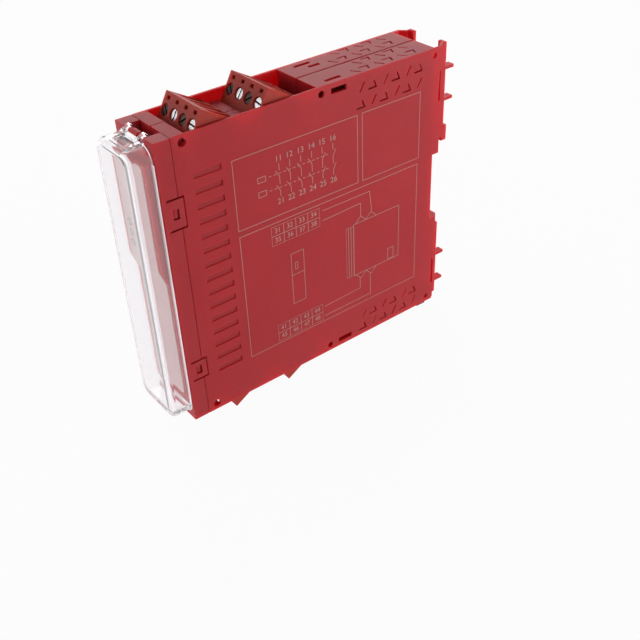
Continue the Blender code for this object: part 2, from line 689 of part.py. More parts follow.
def shell_holes():
    """Side vents, joining holes, side slots, roof window, tab recesses and the slots beside the fingers."""
    vents = plate("side_vents", side_vents(), INNER_X - CUT, HALF_WIDTH + CUT, SIDE_VIEW)
    holes = []
    slots = []
    hole_places = (
        (INNER_X - EDGE_WALL, FRONT + JOIN_HOLE_FRONT), (INNER_X - EDGE_WALL, FRONT + JOIN_HOLE_MIDDLE),
        (INNER_X + SIDE_WALL / 5, -JOIN_HOLE_BACK))
    for (x, y), radius in zip(hole_places, JOIN_HOLE_RADII):
        heights = (TOP - JOIN_HOLE_EDGE, BOTTOM + JOIN_HOLE_EDGE)
        ends = [((x, y, z), (HALF_WIDTH + CUT, y, z)) for z in heights]
        holes.append(cylinders("joining_holes", ends, radius))
    for z, sign in ((TOP, -1.0), (BOTTOM, 1.0)):
        slot_z = z + sign * (SIDE_SLOT_EDGE + SIDE_SLOT_HEIGHT / 2)
        slots.append((
            (INNER_X - CUT, FRONT + SIDE_SLOT_FRONT, slot_z - SIDE_SLOT_HEIGHT / 2),
            (HALF_WIDTH + CUT, FRONT + SIDE_SLOT_FRONT + SIDE_SLOT_LENGTH, slot_z + SIDE_SLOT_HEIGHT / 2)))
    recesses = []
    for centre, height in ((SNAP_UPPER, SNAP_UPPER_HEIGHT), (SNAP_LOWER, SNAP_LOWER_HEIGHT)):
        recesses.append((
            (INNER_X - EDGE_WALL, SHELL_FRONT - CUT, centre - height / 2),
            (HALF_WIDTH + CUT, FRONT + BEZEL_DEPTH + SNAP_REACH + FIT, centre + height / 2)))
    beside = []
    slot_back = -BACK_SHOULDER - FIT
    for first, second in (FINGER_HEIGHTS[:2], FINGER_HEIGHTS[2:]):
        z = (first + second) / 2 + BACK_SLOT_LIFT
        beside.append((
            (HALF_WIDTH - BACK_SLOT_DEPTH, slot_back - BACK_SLOT_WIDTH, z - BACK_SLOT_LENGTH / 2),
            (HALF_WIDTH + CUT, slot_back, z + BACK_SLOT_LENGTH / 2)))
    window_x = INNER_X - ROOF_WINDOW_SIDE - ROOF_WINDOW_WIDTH
    roof_window = boxes("roof_window", [(
        (window_x, FRONT + SIDE_SLOT_FRONT, TOP - 2 * EDGE_WALL),
        (window_x + ROOF_WINDOW_WIDTH, FRONT + SIDE_SLOT_FRONT + SIDE_SLOT_LENGTH, TOP + CUT))])
    return (
        vents, *holes, boxes("side_slots", slots), boxes("tab_recesses", recesses),
        boxes("back_slots", beside), roof_window)


def clip_guides():
    """Bent fingers that stand on the back flanges, and the detent that the springs of the clip pass."""
    outer = FLANGE_X - OVERLAP
    inner = outer - FINGER_WIDTH
    half = FINGER_THICKNESS / 2
    fingers = []
    for z in FINGER_HEIGHTS:
        rise = UPPER_RISE if z > MIDDLE else LOWER_RISE
        root = rise - FLANGE / 2
        tip = rise + FINGER_REACH
        outline = [
            (outer, root), (outer, tip), (CHANNEL_HALF_WIDTH, tip), (CHANNEL_HALF_WIDTH, tip - FINGER_LIP),
            (inner, tip - FINGER_LIP), (inner, root)]
        fingers.append(plate("finger", [outline], z - half, z + half, PLAN_VIEW))
    detent_z = CLIP_FOOT_Z + DETENT_ALONG
    detent = boxes("detent", [(
        (FIT / 2, -CHANNEL_DEPTH - EDGE_WALL / 2, detent_z - DETENT_HEIGHT / 2),
        (DETENT_HALF_WIDTH, CLIP_BACK - FIT, detent_z + DETENT_HEIGHT / 2))])
    return *fingers, detent


def catches():
    """Ribs behind the bezel's snap tabs, each with a nub that stands in the window of its tab."""
    inner = INNER_X - FIT
    half = CATCH_HEIGHT / 2
    front = FRONT + CATCH_FRONT
    root = FRONT + BEZEL_DEPTH + SNAP_REACH + 2 * FIT
    sunk = inner - EDGE_WALL / 2
    outer = INNER_X + SIDE_WALL / 2
    ribs = []
    roots = []
    nubs = []
    for z in (SNAP_UPPER, SNAP_LOWER):
        ribs.append((
            (inner - EDGE_WALL, front - FIT, z - half - FIT),
            (inner, root + EDGE_WALL + FIT, z + half + FIT)))
        roots.append(((sunk, root, z - half), (outer, root + EDGE_WALL, z + half)))
        nubs.append(((sunk, front, z - half), (outer, front + CATCH_LENGTH, z + half)))
    return boxes("catch_ribs", ribs), boxes("catch_roots", roots), boxes("catch_nubs", nubs)


def mirror_x(piece):
    """The other hand of a piece, in its place across the joint."""
    bm = bmesh.new()
    bm.from_mesh(piece.data)
    bmesh.ops.transform(bm, verts=bm.verts, matrix=Matrix.Diagonal((-1.0, 1.0, 1.0, 1.0)))
    return tool_object(piece.name + "_mirrored", mesh_from(piece.name + "_mirrored", bm))


def build_housing():
    right = housing_half()
    left = mirror_x(right)
    pegs = []
    for y in (FRONT + BOARD_FRONT + PEG_SIZE, BOARD_BACK - 2 * PEG_SIZE):
        for z in (MIDDLE - BOARD_HALF_HEIGHT + 2 * PEG_SIZE, MIDDLE + BOARD_HALF_HEIGHT - 3 * PEG_SIZE):
            pegs.append(((-INNER_X - SIDE_WALL / 2, y, z), (BOARD_X - FIT, y + PEG_SIZE, z + PEG_SIZE)))
    window_front = FRONT + MIDDLE_WINDOW_FRONT
    window = boxes("middle_window", [(
        (MIDDLE_WINDOW_X - ROOF_WINDOW_WIDTH / 2, window_front, TOP - 2 * EDGE_WALL),
        (MIDDLE_WINDOW_X + ROOF_WINDOW_WIDTH / 2, window_front + MIDDLE_WINDOW_LENGTH, TOP + CUT))])
    far_column = -ROOF_VENT_FIRST - ROOF_VENT_PITCH - ROOF_VENT_REACH
    shape(left, cut_by(window, roof_vents(far_column)) + joined(boxes("board_pegs", pegs)))
    screen_x = INNER_X - SLOT_SCREEN_SIDE - SIDE_WALL
    screen_front = FRONT + SIDE_SLOT_FRONT - EDGE_WALL
    screen_back = screen_front + SIDE_SLOT_LENGTH + 2 * EDGE_WALL
    root = EDGE_WALL / 2
    screens = []
    for low, high in ((TOP - SLOT_SCREEN_HEIGHT, TOP - root), (BOTTOM + root, BOTTOM + SLOT_SCREEN_HEIGHT)):
        screens.append(((screen_x, screen_front, low), (screen_x + SIDE_WALL, screen_back, high)))
    shape(right, cut_by(roof_vents(ROOF_VENT_FIRST)) + joined(boxes("slot_screens", screens)))
    part("housing_right_half", right, HOUSING_RED)
    part("housing_left_half", left, HOUSING_RED)


def build_bezel():
    back = FRONT + BEZEL_DEPTH
    tip = back + SNAP_REACH
    wide = HALF_WIDTH + CUT
    tabs = []
    slots = []
    windows = []
    for centre, height in ((SNAP_UPPER, SNAP_UPPER_HEIGHT), (SNAP_LOWER, SNAP_LOWER_HEIGHT)):
        half = height / 2 - SNAP_SLOT
        tabs.append((centre - half, centre + half))
        for low in (centre + half, centre - half - SNAP_SLOT):
            slots.append(((-wide, FRONT + SNAP_SLOT_FRONT, low), (wide, tip + CUT, low + SNAP_SLOT)))
        windows.append((
            (-wide, FRONT + CATCH_FRONT - FIT, centre - CATCH_HEIGHT / 2 - FIT),
            (wide, FRONT + CATCH_FRONT + CATCH_LENGTH + FIT, centre + CATCH_HEIGHT / 2 + FIT)))
    block = boxes("bezel", [((-HALF_WIDTH, FRONT, BOTTOM), (HALF_WIDTH, tip, TOP))])
    edges = [BOTTOM - CUT, *tabs[1], *tabs[0], TOP + CUT]
    trims = [((-wide, back, edges[i]), (wide, tip + CUT, edges[i + 1])) for i in (0, 2, 4)]
    hollow = boxes("hollow", [(
        (-INNER_X, FRONT + BEZEL_WALL, BOTTOM + BEZEL_WALL),
        (INNER_X, tip + CUT, TOP - HINGE_NOTCH_DROP - BEZEL_WALL))])
    notch = boxes("hinge_notch", [(
        (-HINGE_NOTCH_HALF_WIDTH, FRONT - CUT, TOP - HINGE_NOTCH_DROP),
        (HINGE_NOTCH_HALF_WIDTH, tip + CUT, TOP + CUT))])
    step = MIDDLE + PANEL_STEP_START
    panel_top = TOP - PANEL_TOP_MARGIN
    panel_foot = BOTTOM + PANEL_BOTTOM_MARGIN
    inside = FRONT + BEZEL_WALL / 2
    panel = plate("panel", [[
        (inside, panel_foot), (FRONT - PANEL_LOW_RISE, panel_foot), (FRONT - PANEL_LOW_RISE, step),
        (FRONT - PANEL_HIGH_RISE, step + PANEL_STEP_HEIGHT), (FRONT - PANEL_HIGH_RISE, panel_top),
        (inside, panel_top)]], -PANEL_HALF_WIDTH, PANEL_HALF_WIDTH, SIDE_VIEW)
    lug = boxes("hinge_lug", [(
        (-LUG_HALF_WIDTH, HINGE_Y - PIN_RADIUS, TOP - HINGE_NOTCH_DROP - BEZEL_WALL / 2),
        (LUG_HALF_WIDTH, HINGE_Y + PIN_RADIUS, HINGE_Z))])
    knuckle_end = LUG_HALF_WIDTH + OVERLAP / 2
    knuckle = cylinders(
        "knuckle", [((-knuckle_end, HINGE_Y, HINGE_Z), (knuckle_end, HINGE_Y, HINGE_Z))],
        KNUCKLE_RADIUS, steps=ROUND_STEPS)
    reach = HINGE_NOTCH_HALF_WIDTH + SIDE_WALL
    pin_ends = ((-reach, HINGE_Y, HINGE_Z), (reach, HINGE_Y, HINGE_Z))
    pin = cylinders("hinge_pin", [pin_ends], PIN_RADIUS, steps=FINE_ROUND_STEPS)
    pipes = cylinders(
        "pipe_holes",
        [((INDICATOR_X, FRONT - CUT, z), (INDICATOR_X, FRONT + CUT, z)) for z in INDICATOR_HEIGHTS],
        LIGHT_PIPE_RADIUS + LIGHT_PIPE_CLEARANCE)
    latch = boxes("latch_slot", [(
        (-LATCH_HALF_WIDTH - FIT, FRONT - CUT, LATCH_Z - LATCH_THICKNESS / 2 - FIT),
        (LATCH_HALF_WIDTH + FIT, FRONT + CUT, LATCH_Z + LATCH_THICKNESS / 2 + FIT))])
    shape(block, cut_by(
        boxes("trims", trims), hollow, notch, boxes("tab_slots", slots), boxes("tab_windows", windows)))
    shape(block, joined(panel, lug, knuckle, pin) + cut_by(pipes, latch))
    part("front_bezel", block, BEZEL_RED)


def cover_shell(name, inset_by, back, front, foot, edge):
    """A rounded block with its front edges rounded over."""
    wide = COVER_HALF_WIDTH - inset_by
    radii = [radius - inset_by for radius in (COVER_CORNER, COVER_CORNER, COVER_CORNER, COVER_FOOT_CORNER)]
    loop = rounded_rectangle((-wide, foot), (wide, COVER_TOP - inset_by), radii)
    block = plate(name, [loop], -back, -front, FRONT_VIEW)
    bm = bmesh.new()
    bm.from_mesh(block.data)
    rim = [edge for edge in bm.edges if all(abs(vert.co.y - front * MM) < 0.01 * MM for vert in edge.verts)]
    bmesh.ops.bevel(bm, geom=rim, offset=edge * MM, segments=4, profile=0.5, affect="EDGES")
    block.data = mesh_from(name, bm)
    return block


def build_cover():
    foot = COVER_FOOT + COVER_FOOT_WALL
    shell = cover_shell("cover", 0.0, COVER_BACK, COVER_FRONT, COVER_FOOT, COVER_EDGE)
    inner_edge = COVER_EDGE - COVER_WALL
    hollow = cover_shell(
        "cover_hollow", COVER_WALL, COVER_BACK + CUT, COVER_FRONT + COVER_WALL, foot, inner_edge)
    low = COVER_TOP - COVER_WALL
    arm = [
        (HINGE_Y, HINGE_Z + EYE_RADIUS - FIT), (COVER_FRONT + COVER_EDGE, COVER_TOP - OVERLAP),
        (COVER_FRONT + COVER_EDGE, low + 2 * OVERLAP), (HINGE_Y, low + 2 * OVERLAP)]
    arms = []
    eyes = []
    mouths = []
    half = EYE_WIDTH / 2
    for x in (-EYE_CENTRE_X, EYE_CENTRE_X):
        arms.append(plate("arm", [arm], x - half + OVERLAP, x + half - OVERLAP, SIDE_VIEW))
        eyes.append(((x - half, HINGE_Y, HINGE_Z), (x + half, HINGE_Y, HINGE_Z)))
        mouths.append((
            (x - EYE_WIDTH, HINGE_Y - EYE_MOUTH / 2, HINGE_Z - EYE_RADIUS - FIT),
            (x + EYE_WIDTH, HINGE_Y + EYE_MOUTH / 2, HINGE_Z)))
    bores = [((x0 - half, y, z), (x1 + half, y, z)) for (x0, y, z), (x1, _, _) in eyes]
    web_back = HINGE_Y - KNUCKLE_RADIUS - FIT
    slope = (arm[0][1] - arm[1][1]) / (arm[0][0] - arm[1][0])
    web_x = EYE_CENTRE_X - half + 2 * OVERLAP
    web = plate("web", [[
        (web_back, arm[0][1] - slope * (HINGE_Y - web_back) - FIT), (arm[1][0], arm[1][1] - OVERLAP),
        (arm[1][0], low + OVERLAP), (web_back, low + OVERLAP)]], -web_x, web_x, SIDE_VIEW)
    scallop_x = LUG_HALF_WIDTH + FIT
    scallop = cylinders(
        "scallop", [((-scallop_x, HINGE_Y, HINGE_Z), (scallop_x, HINGE_Y, HINGE_Z))], KNUCKLE_RADIUS + FIT)
    latch = boxes("latch", [(
        (-LATCH_HALF_WIDTH, COVER_BACK - COVER_FOOT_WALL, LATCH_Z - LATCH_THICKNESS / 2),
        (LATCH_HALF_WIDTH, FRONT + LATCH_REACH, LATCH_Z + LATCH_THICKNESS / 2))])
    shape(shell, cut_by(hollow))
    shape(shell, joined(web, *arms, cylinders("eyes", eyes, EYE_RADIUS, steps=FINE_ROUND_STEPS)))
    bore = cylinders("bores", bores, EYE_BORE, steps=FINE_ROUND_STEPS)
    shape(shell, cut_by(bore, boxes("mouths", mouths), scallop) + joined(latch))
    part("clear_cover", shell, CLEAR, (0.0, HINGE_Y, HINGE_Z))


def build_clip():
    """The sliding foot that locks on the lower edge of the rail: one flat moulding with two springs."""
    wide = CLIP_HALF_WIDTH
    rail = wide - CLIP_RAIL
    shoulder = CLIP_LENGTH - CLIP_NOSE_HEIGHT
    nose = CLIP_NOSE_HALF_WIDTH
    neck = shoulder + CLIP_NOSE_CHAMFER
    outer = [
        (-wide, 0.0), (wide, 0.0), (wide, shoulder), (nose, neck), (nose, CLIP_LENGTH),
        (-nose, CLIP_LENGTH), (-nose, neck), (-wide, shoulder)]
    flex_end = FLEX_START + FLEX_LENGTH
    nub = DETENT_HALF_WIDTH + FIT
    flex_mid = (FLEX_START + flex_end) / 2
    neck_angle = math.asin(CLIP_NECK / 2 / CLIP_RING_RADIUS)
    right = [
        (CLIP_NECK / 2, CLIP_END), (rail, CLIP_END), (rail, FLEX_START), (FLEX_BAR_X, FLEX_START),
        (FLEX_BAR_X, flex_mid - FLEX_NUB_LENGTH), (nub, flex_mid - FLEX_NUB_LENGTH / 2),
        (nub, flex_mid + FLEX_NUB_LENGTH / 2), (FLEX_BAR_X, flex_mid + FLEX_NUB_LENGTH),
        (FLEX_BAR_X, flex_end), (rail, flex_end), (rail, CLIP_LENGTH - CLIP_NOSE_BAR)]
    ring = circle(
        0.0, CLIP_RING_CENTRE, CLIP_RING_RADIUS, math.radians(270) - neck_angle,
        -(2 * math.pi - 2 * neck_angle), steps=20)
    last = math.radians(270) + neck_angle
    ring_end = (CLIP_RING_RADIUS * math.cos(last), CLIP_RING_CENTRE + CLIP_RING_RADIUS * math.sin(last))
    opening = right + [(-a, b) for a, b in reversed(right)] + ring + [ring_end]
    slots = []
    for side in (1.0, -1.0):
        slots.append([
            (side * (FLEX_BAR_X + FLEX_BAR), FLEX_START + FLEX_BAR), (side * rail, FLEX_START + FLEX_BAR),
            (side * rail, flex_end - FLEX_BAR), (side * (FLEX_BAR_X + FLEX_BAR), flex_end - FLEX_BAR)])
    window_top = CLIP_LENGTH - CLIP_END
    window_x = CLIP_WINDOW_HALF_WIDTH
    window = [
        (-window_x, window_top - CLIP_WINDOW_HEIGHT), (window_x, window_top - CLIP_WINDOW_HEIGHT),
        (window_x, window_top), (-window_x, window_top)]
    bore = circle(0.0, CLIP_RING_CENTRE, CLIP_RING_BORE)
    loops = [[(a, b + CLIP_FOOT_Z) for a, b in loop] for loop in (outer, opening, *slots, window, bore)]
    frame = plate("clip", loops, -CLIP_BACK, -CLIP_FACE, FRONT_VIEW, holes=True)
    middle = CLIP_FACE + CLIP_THICKNESS / 2
    foot = boxes("clip_foot", [(
        (-wide + OVERLAP, CLIP_FACE - CLIP_FOOT_REACH, CLIP_FOOT_Z - OVERLAP / 2),
        (wide - OVERLAP, middle, CLIP_FOOT_Z + CLIP_END - 2 * OVERLAP))])
    post = CLIP_FOOT_Z + CLIP_LENGTH - CLIP_NOSE_BAR + OVERLAP
    post_top = CLIP_FOOT_Z + window_top - CLIP_WINDOW_HEIGHT - OVERLAP
    nose_top = CLIP_FOOT_Z + CLIP_LENGTH
    lip = CLIP_NOSE_REACH - CLIP_NOSE_LIP
    hook = plate("clip_nose", [[
        (middle, post), (CLIP_NOSE_REACH, post), (CLIP_NOSE_REACH, nose_top), (lip, nose_top),
        (lip, post_top), (middle, post_top)]], OVERLAP - nose, nose - OVERLAP, SIDE_VIEW)
    shape(frame, joined(foot, hook))
    part("rail_clip", frame, BLACK_PLASTIC, (0.0, CLIP_FACE, CLIP_FOOT_Z))


def pole_centres():
    return [-PLUG_HALF_WIDTH + POLE_PITCH * (i + 0.5) for i in range(POLES)]


def plug_mesh():
    """A terminal plug in its own axes, with a screw hole, clamp chamber, wire entry and socket per pole."""
    wide = PLUG_HALF_WIDTH
    body = boxes("plug", [((-wide, 0.0, -PLUG_BODY), (wide, PLUG_LENGTH, 0.0))])
    tongue = boxes("tongue", [(
        (-TONGUE_HALF_WIDTH, TONGUE_FRONT, -TONGUE_END),
        (TONGUE_HALF_WIDTH, TONGUE_REAR, -PLUG_BODY + EDGE_WALL))])
    chambers = []
    heads = []
    shanks = []
    wires = []
    sockets = []
    tests = []
    funnels = []
    wire = CAGE_HALF_WIDTH - CAGE_SIDE_WALL
    socket = SOCKET_SIZE / 2
    test = TEST_SLOT_WIDTH / 2
    funnel = (POLE_PITCH - FUNNEL_RIB) / 2
    chamber_top = -SCREW_DOWN + CHAMBER_HALF_HEIGHT
    chamber_foot = -SCREW_DOWN - CHAMBER_HALF_HEIGHT
    for x in pole_centres():
        chambers.append((
            (x - CHAMBER_HALF_WIDTH, CHAMBER_FRONT, chamber_foot),
            (x + CHAMBER_HALF_WIDTH, CHAMBER_REAR, chamber_top)))
        heads.append(((x, -CUT, -SCREW_DOWN), (x, SHOULDER_FRONT, -SCREW_DOWN)))
        shanks.append(((x, SHOULDER_FRONT - FIT, -SCREW_DOWN), (x, CHAMBER_FRONT + FIT, -SCREW_DOWN)))
        wires.append(((x - wire, WIRE_FRONT, chamber_top - FIT), (x + wire, WIRE_REAR, CUT)))
        sockets.append((
            (x - socket, SOCKET_ALONG - socket, -TONGUE_END - CUT),
            (x + socket, SOCKET_ALONG + socket, chamber_foot + FIT)))
        tests.append((
            (x - test, -CUT, -TEST_SLOT_DOWN - TEST_SLOT_HEIGHT / 2),
            (x + test, TEST_SLOT_DEPTH, -TEST_SLOT_DOWN + TEST_SLOT_HEIGHT / 2)))
        funnels.append(((x - funnel, FUNNEL_FRONT, -FUNNEL_DEPTH), (x + funnel, FUNNEL_REAR, CUT)))
    head_hole = HEAD_RADIUS + HEAD_CLEARANCE
    shape(body, joined(tongue) + cut_by(
        boxes("chambers", chambers), cylinders("head_holes", heads, head_hole, steps=ROUND_STEPS),
        cylinders("shank_holes", shanks, SHANK_RADIUS + SHANK_CLEARANCE), boxes("wire_entries", wires),
        boxes("sockets", sockets), boxes("test_slots", tests), boxes("funnels", funnels)))
    return finished("terminal_plug", body, PLUG_RED)


def screw_mesh():
    """A slotted clamp screw along its own Y axis, with its head at the front."""
    head_back = HEAD_RECESS + HEAD_HEIGHT
    profile = [
        (0.0, HEAD_RECESS), (HEAD_RADIUS, HEAD_RECESS), (HEAD_RADIUS, head_back), (SHANK_RADIUS, head_back),
        (SHANK_RADIUS, SCREW_TIP), (0.0, SCREW_TIP)]
    body = turned("screw", profile, Matrix.Rotation(-math.pi / 2, 4, "X"))
    slot_half = HEAD_SLOT_WIDTH / 2
    slot = boxes("screw_slot", [(
        (-CUT, HEAD_RECESS - CUT, -slot_half), (CUT, HEAD_RECESS + HEAD_SLOT_DEPTH, slot_half))])
    return finished("clamp_screw", shape(body, cut_by(slot)), PLATED_STEEL)


def cage_mesh():
    """A box clamp about the same axis as its screw, with the screw's hole in front and the wire's way."""
    half = CAGE_HEIGHT / 2
    body = boxes("cage", [((-CAGE_HALF_WIDTH, CAGE_FRONT, -half), (CAGE_HALF_WIDTH, CAGE_REAR, half))])
    inside = CAGE_HALF_WIDTH - CAGE_SIDE_WALL
    window = boxes("cage_window", [((-inside, WIRE_FRONT, -half - CUT), (inside, WIRE_REAR, half + CUT))])
    bore_ends = ((0.0, CAGE_FRONT - CUT, 0.0), (0.0, WIRE_FRONT + FIT, 0.0))
    bore = cylinders("cage_bore", [bore_ends], SHANK_RADIUS + SHANK_CLEARANCE)
    return finished("clamp_cage", shape(body, cut_by(window, bore)), CAGE_STEEL)


def header_mesh():
    """A shrouded row of pins in the axes of the plug that goes into it."""
    floor = HEADER_FLOOR
    rim = -PLUG_BODY - HEADER_RIM_GAP
    wide = HEADER_HALF_WIDTH
    wall = HEADER_WALL
    shroud = boxes("shroud", [((-wide, HEADER_FRONT, floor - HEADER_BASE), (wide, HEADER_REAR, rim))])
    hollow = boxes("shroud_hollow", [(
        (wall - wide, HEADER_FRONT + wall, floor), (wide - wall, HEADER_REAR - wall, CUT))])
    half = PIN_SIZE / 2
    pins = [(
        (x - half, SOCKET_ALONG - half, floor - HEADER_BASE / 2),
        (x + half, SOCKET_ALONG + half, floor + PIN_LENGTH)) for x in pole_centres()]
    return finished("pin_header", shape(shroud, cut_by(hollow) + joined(boxes("pins", pins))), BLACK_PLASTIC)


def build_terminals():
    plug = plug_mesh()
    screw = screw_mesh()
    cage = cage_mesh()
    header = header_mesh()
    turn = 0
    for level in ("top", "bottom"):
        for row, depth in ((0, "front"), (1, "rear")):
            place = plug_place(level, row)
            label = level + "_" + depth
            placed("plug_" + label, plug, place)
            placed("header_" + label, header, place)
            for pole, x in enumerate(pole_centres()):
                axis = place @ Matrix.Translation((x * MM, 0.0, -SCREW_DOWN * MM))
                number = str(pole + 1)
                turn += 1
                turned_axis = axis @ Matrix.Rotation(turn * HEAD_TURN, 4, "Y")
                placed("screw_" + label + "_" + number, screw, turned_axis)
                placed("cage_" + label + "_" + number, cage, axis)


def build_boards():
    low = MIDDLE - BOARD_HALF_HEIGHT
    high = MIDDLE + BOARD_HALF_HEIGHT
    front = FRONT + BOARD_FRONT
    tail = FRONT + BOARD_TAIL_FRONT
    tail_low = BOTTOM + EDGE_WALL + BOARD_TAIL_MARGIN
    tail_high = TOP - EDGE_WALL - BOARD_TAIL_MARGIN
    outline = [
        (front, low), (tail, low), (tail, tail_low), (BOARD_BACK, tail_low), (BOARD_BACK, tail_high),
        (tail, tail_high), (tail, high), (front, high)]
    part("main_board", plate("main_board", [outline], BOARD_X, BOARD_FACE, SIDE_VIEW), BOARD_GREEN)
    seat = BOARD_FACE + FIT
    for number, base in (("1", MIDDLE + RELAY_SPLIT / 2), ("2", MIDDLE - RELAY_SPLIT / 2 - RELAY_HEIGHT)):
        relay = boxes("relay", [(
            (seat, FRONT + RELAY_FRONT, base),
            (seat + RELAY_RISE, FRONT + RELAY_FRONT + RELAY_LENGTH, base + RELAY_HEIGHT))])
        part("relay_" + number, relay, RELAY_CASE)
    base = MIDDLE + TRANSFORMER_HEIGHT
    transformer = boxes("transformer", [(
        (seat, FRONT + TRANSFORMER_FRONT, base),
        (seat + TRANSFORMER_RISE, FRONT + TRANSFORMER_FRONT + TRANSFORMER_SIZE, base + TRANSFORMER_SIZE))])
    part("supply_transformer", transformer, COIL_TAPE)
    for i in (0, 1):
        y = FRONT + CAPACITOR_FRONT + i * CAPACITOR_PITCH
        z = MIDDLE - CAPACITOR_DROP
        can_ends = ((seat, y, z), (seat + CAPACITOR_RISE, y, z))
        can = cylinders("capacitor", [can_ends], CAPACITOR_RADIUS, steps=FINE_ROUND_STEPS)
        part("capacitor_" + str(i + 1), can, SLEEVE)
    y = FRONT + VARISTOR_FRONT
    disc_ends = ((seat, y, MIDDLE), (seat + VARISTOR_RISE, y, MIDDLE))
    disc = cylinders("varistor", [disc_ends], VARISTOR_RADIUS, steps=FINE_ROUND_STEPS)
    part("varistor", disc, VARISTOR_BLUE)


def build_indicators():
    reach = INDICATOR_BOARD_MARGIN
    board = boxes("indicator_board", [(
        (BOARD_X, INDICATOR_FACE, INDICATOR_HEIGHTS[0] - reach),
        (INDICATOR_X + reach, INDICATOR_BACK, INDICATOR_HEIGHTS[2] + reach))])
    part("indicator_board", board, BOARD_GREEN)
    half = LED_HALF_SIZE
    pipe_front = FRONT - PANEL_HIGH_RISE - LIGHT_PIPE_PROUD
    for name, z in zip(("lower", "middle", "upper"), INDICATOR_HEIGHTS):
        lamp = boxes("led", [(
            (INDICATOR_X - half, LED_FACE, z - half), (INDICATOR_X + half, LED_BACK, z + half))])
        part("led_" + name, lamp, LED_LENS)
        pipe = cylinders(
            "pipe", [((INDICATOR_X, pipe_front, z), (INDICATOR_X, LED_FACE - FIT, z))], LIGHT_PIPE_RADIUS)
        part("light_pipe_" + name, pipe, CLEAR)


build_housing()
build_bezel()
build_cover()
build_clip()
build_terminals()
build_boards()
build_indicators()
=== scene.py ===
# %% [markdown]
# # A red safety relay module for a mounting rail
#
# The module is a narrow moulded case that snaps on a 35 mm rail in a control cabinet. Two half shells meet in
# the middle of its width, a bezel with a clear hinged cover closes the front, and four plug-in terminal blocks
# stand in tilted bays. The CAD model already has every piece in its true place and size. This notebook gives
# those pieces rounded moulded edges, finishes, the ink on the side, and the light and camera of a product
# photograph.

# %% Load the CAD model
import math

import bpy
from mathutils import Matrix, Vector
from mathutils.geometry import intersect_point_line


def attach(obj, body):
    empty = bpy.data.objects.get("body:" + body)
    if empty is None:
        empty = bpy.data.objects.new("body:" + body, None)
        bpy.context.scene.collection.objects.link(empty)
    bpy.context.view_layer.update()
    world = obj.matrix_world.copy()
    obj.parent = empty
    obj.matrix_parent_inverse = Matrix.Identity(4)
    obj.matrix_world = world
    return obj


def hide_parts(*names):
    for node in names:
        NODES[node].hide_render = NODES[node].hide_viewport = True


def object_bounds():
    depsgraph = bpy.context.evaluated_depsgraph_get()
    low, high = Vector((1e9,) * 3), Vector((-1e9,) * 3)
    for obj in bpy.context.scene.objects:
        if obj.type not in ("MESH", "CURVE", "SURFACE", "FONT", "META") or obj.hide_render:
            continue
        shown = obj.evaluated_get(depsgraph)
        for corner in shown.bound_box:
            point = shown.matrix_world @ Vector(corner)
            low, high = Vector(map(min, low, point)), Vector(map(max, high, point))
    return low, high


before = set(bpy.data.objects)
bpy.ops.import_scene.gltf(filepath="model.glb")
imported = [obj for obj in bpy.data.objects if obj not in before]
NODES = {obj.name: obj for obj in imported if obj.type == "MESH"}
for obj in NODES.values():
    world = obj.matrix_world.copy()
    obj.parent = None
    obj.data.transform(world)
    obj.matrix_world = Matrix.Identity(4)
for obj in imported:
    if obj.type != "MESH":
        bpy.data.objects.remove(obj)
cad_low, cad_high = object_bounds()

MM = 0.001
print(len(NODES), "CAD nodes, box", [round(v / MM, 1) for v in cad_high - cad_low], "mm")

# %% [markdown]
# ## The camera
#
# The camera comes first, because every later choice is judged through it. Its place and lens were worked out
# from the case's straight edges: parallel edges that meet far away in a picture tell where the eye was. The
# camera's axes are written as a matrix here, which avoids guessing at three angles.

# %% Place the camera
EYE = Vector((226.3, -219.0, 162.4)) * MM
AZIMUTH = math.radians(53.35)
ELEVATION = math.radians(36.34)
ROLL = math.radians(-2.57)
IMAGE_WIDTH = 640
FOCAL_PIXELS = 910.5

back = Vector((
    math.cos(ELEVATION) * math.sin(AZIMUTH), -math.cos(ELEVATION) * math.cos(AZIMUTH), math.sin(ELEVATION)))
right = Vector((math.cos(AZIMUTH), math.sin(AZIMUTH), 0.0))
axes = Matrix((right, back.cross(right), back)).transposed()
bpy.ops.object.camera_add()
camera = bpy.context.object
camera.name = "photo_camera"
camera.matrix_world = Matrix.Translation(EYE) @ (axes @ Matrix.Rotation(ROLL, 3, "Z")).to_4x4()
camera.data.sensor_width = 36.0
camera.data.lens = FOCAL_PIXELS / IMAGE_WIDTH * camera.data.sensor_width
camera.data.clip_start = 10 * MM
bpy.context.scene.camera = camera
bpy.context.scene.view_settings.view_transform = "Standard"
print("lens", round(camera.data.lens, 1), "mm, eye at", [round(v / MM) for v in EYE], "mm")

# %% [markdown]
# ## Colours and nodes
#
# Colours are written as sRGB hex values, as a colour picker shows them, and turned to the linear values that
# the shaders add up. One small function adds a node: a socket handed to it is linked, and anything else is set
# as the input's own value, so each material below reads as a list of what it is made of.

# %% Helpers for colours and nodes
def linear(hex_colour):
    """An sRGB hex colour as the linear RGBA that a shader works in."""
    channels = [int(hex_colour[i:i + 2], 16) / 255 for i in (1, 3, 5)]
    return tuple(c / 12.92 if c <= 0.04045 else ((c + 0.055) / 1.055) ** 2.4 for c in channels) + (1.0,)


def add(tree, kind, inputs, **settings):
    """Adds one node, with its settings, and links or sets each of the inputs named."""
    node = tree.nodes.new("ShaderNode" + kind)
    for name, value in settings.items():
        setattr(node, name, value)
    for name, value in inputs.items():
        if isinstance(value, bpy.types.NodeSocket):
            tree.links.new(value, node.inputs[name])
        else:
            node.inputs[name].default_value = value
    return node


def new_finish(name):
    """An empty node material, with the coordinates of the object that wears it."""
    finish = bpy.data.materials.new(name)
    finish.use_nodes = True
    finish.node_tree.nodes.clear()
    place = add(finish.node_tree, "TexCoord", {}).outputs["Object"]
    return finish, finish.node_tree, place


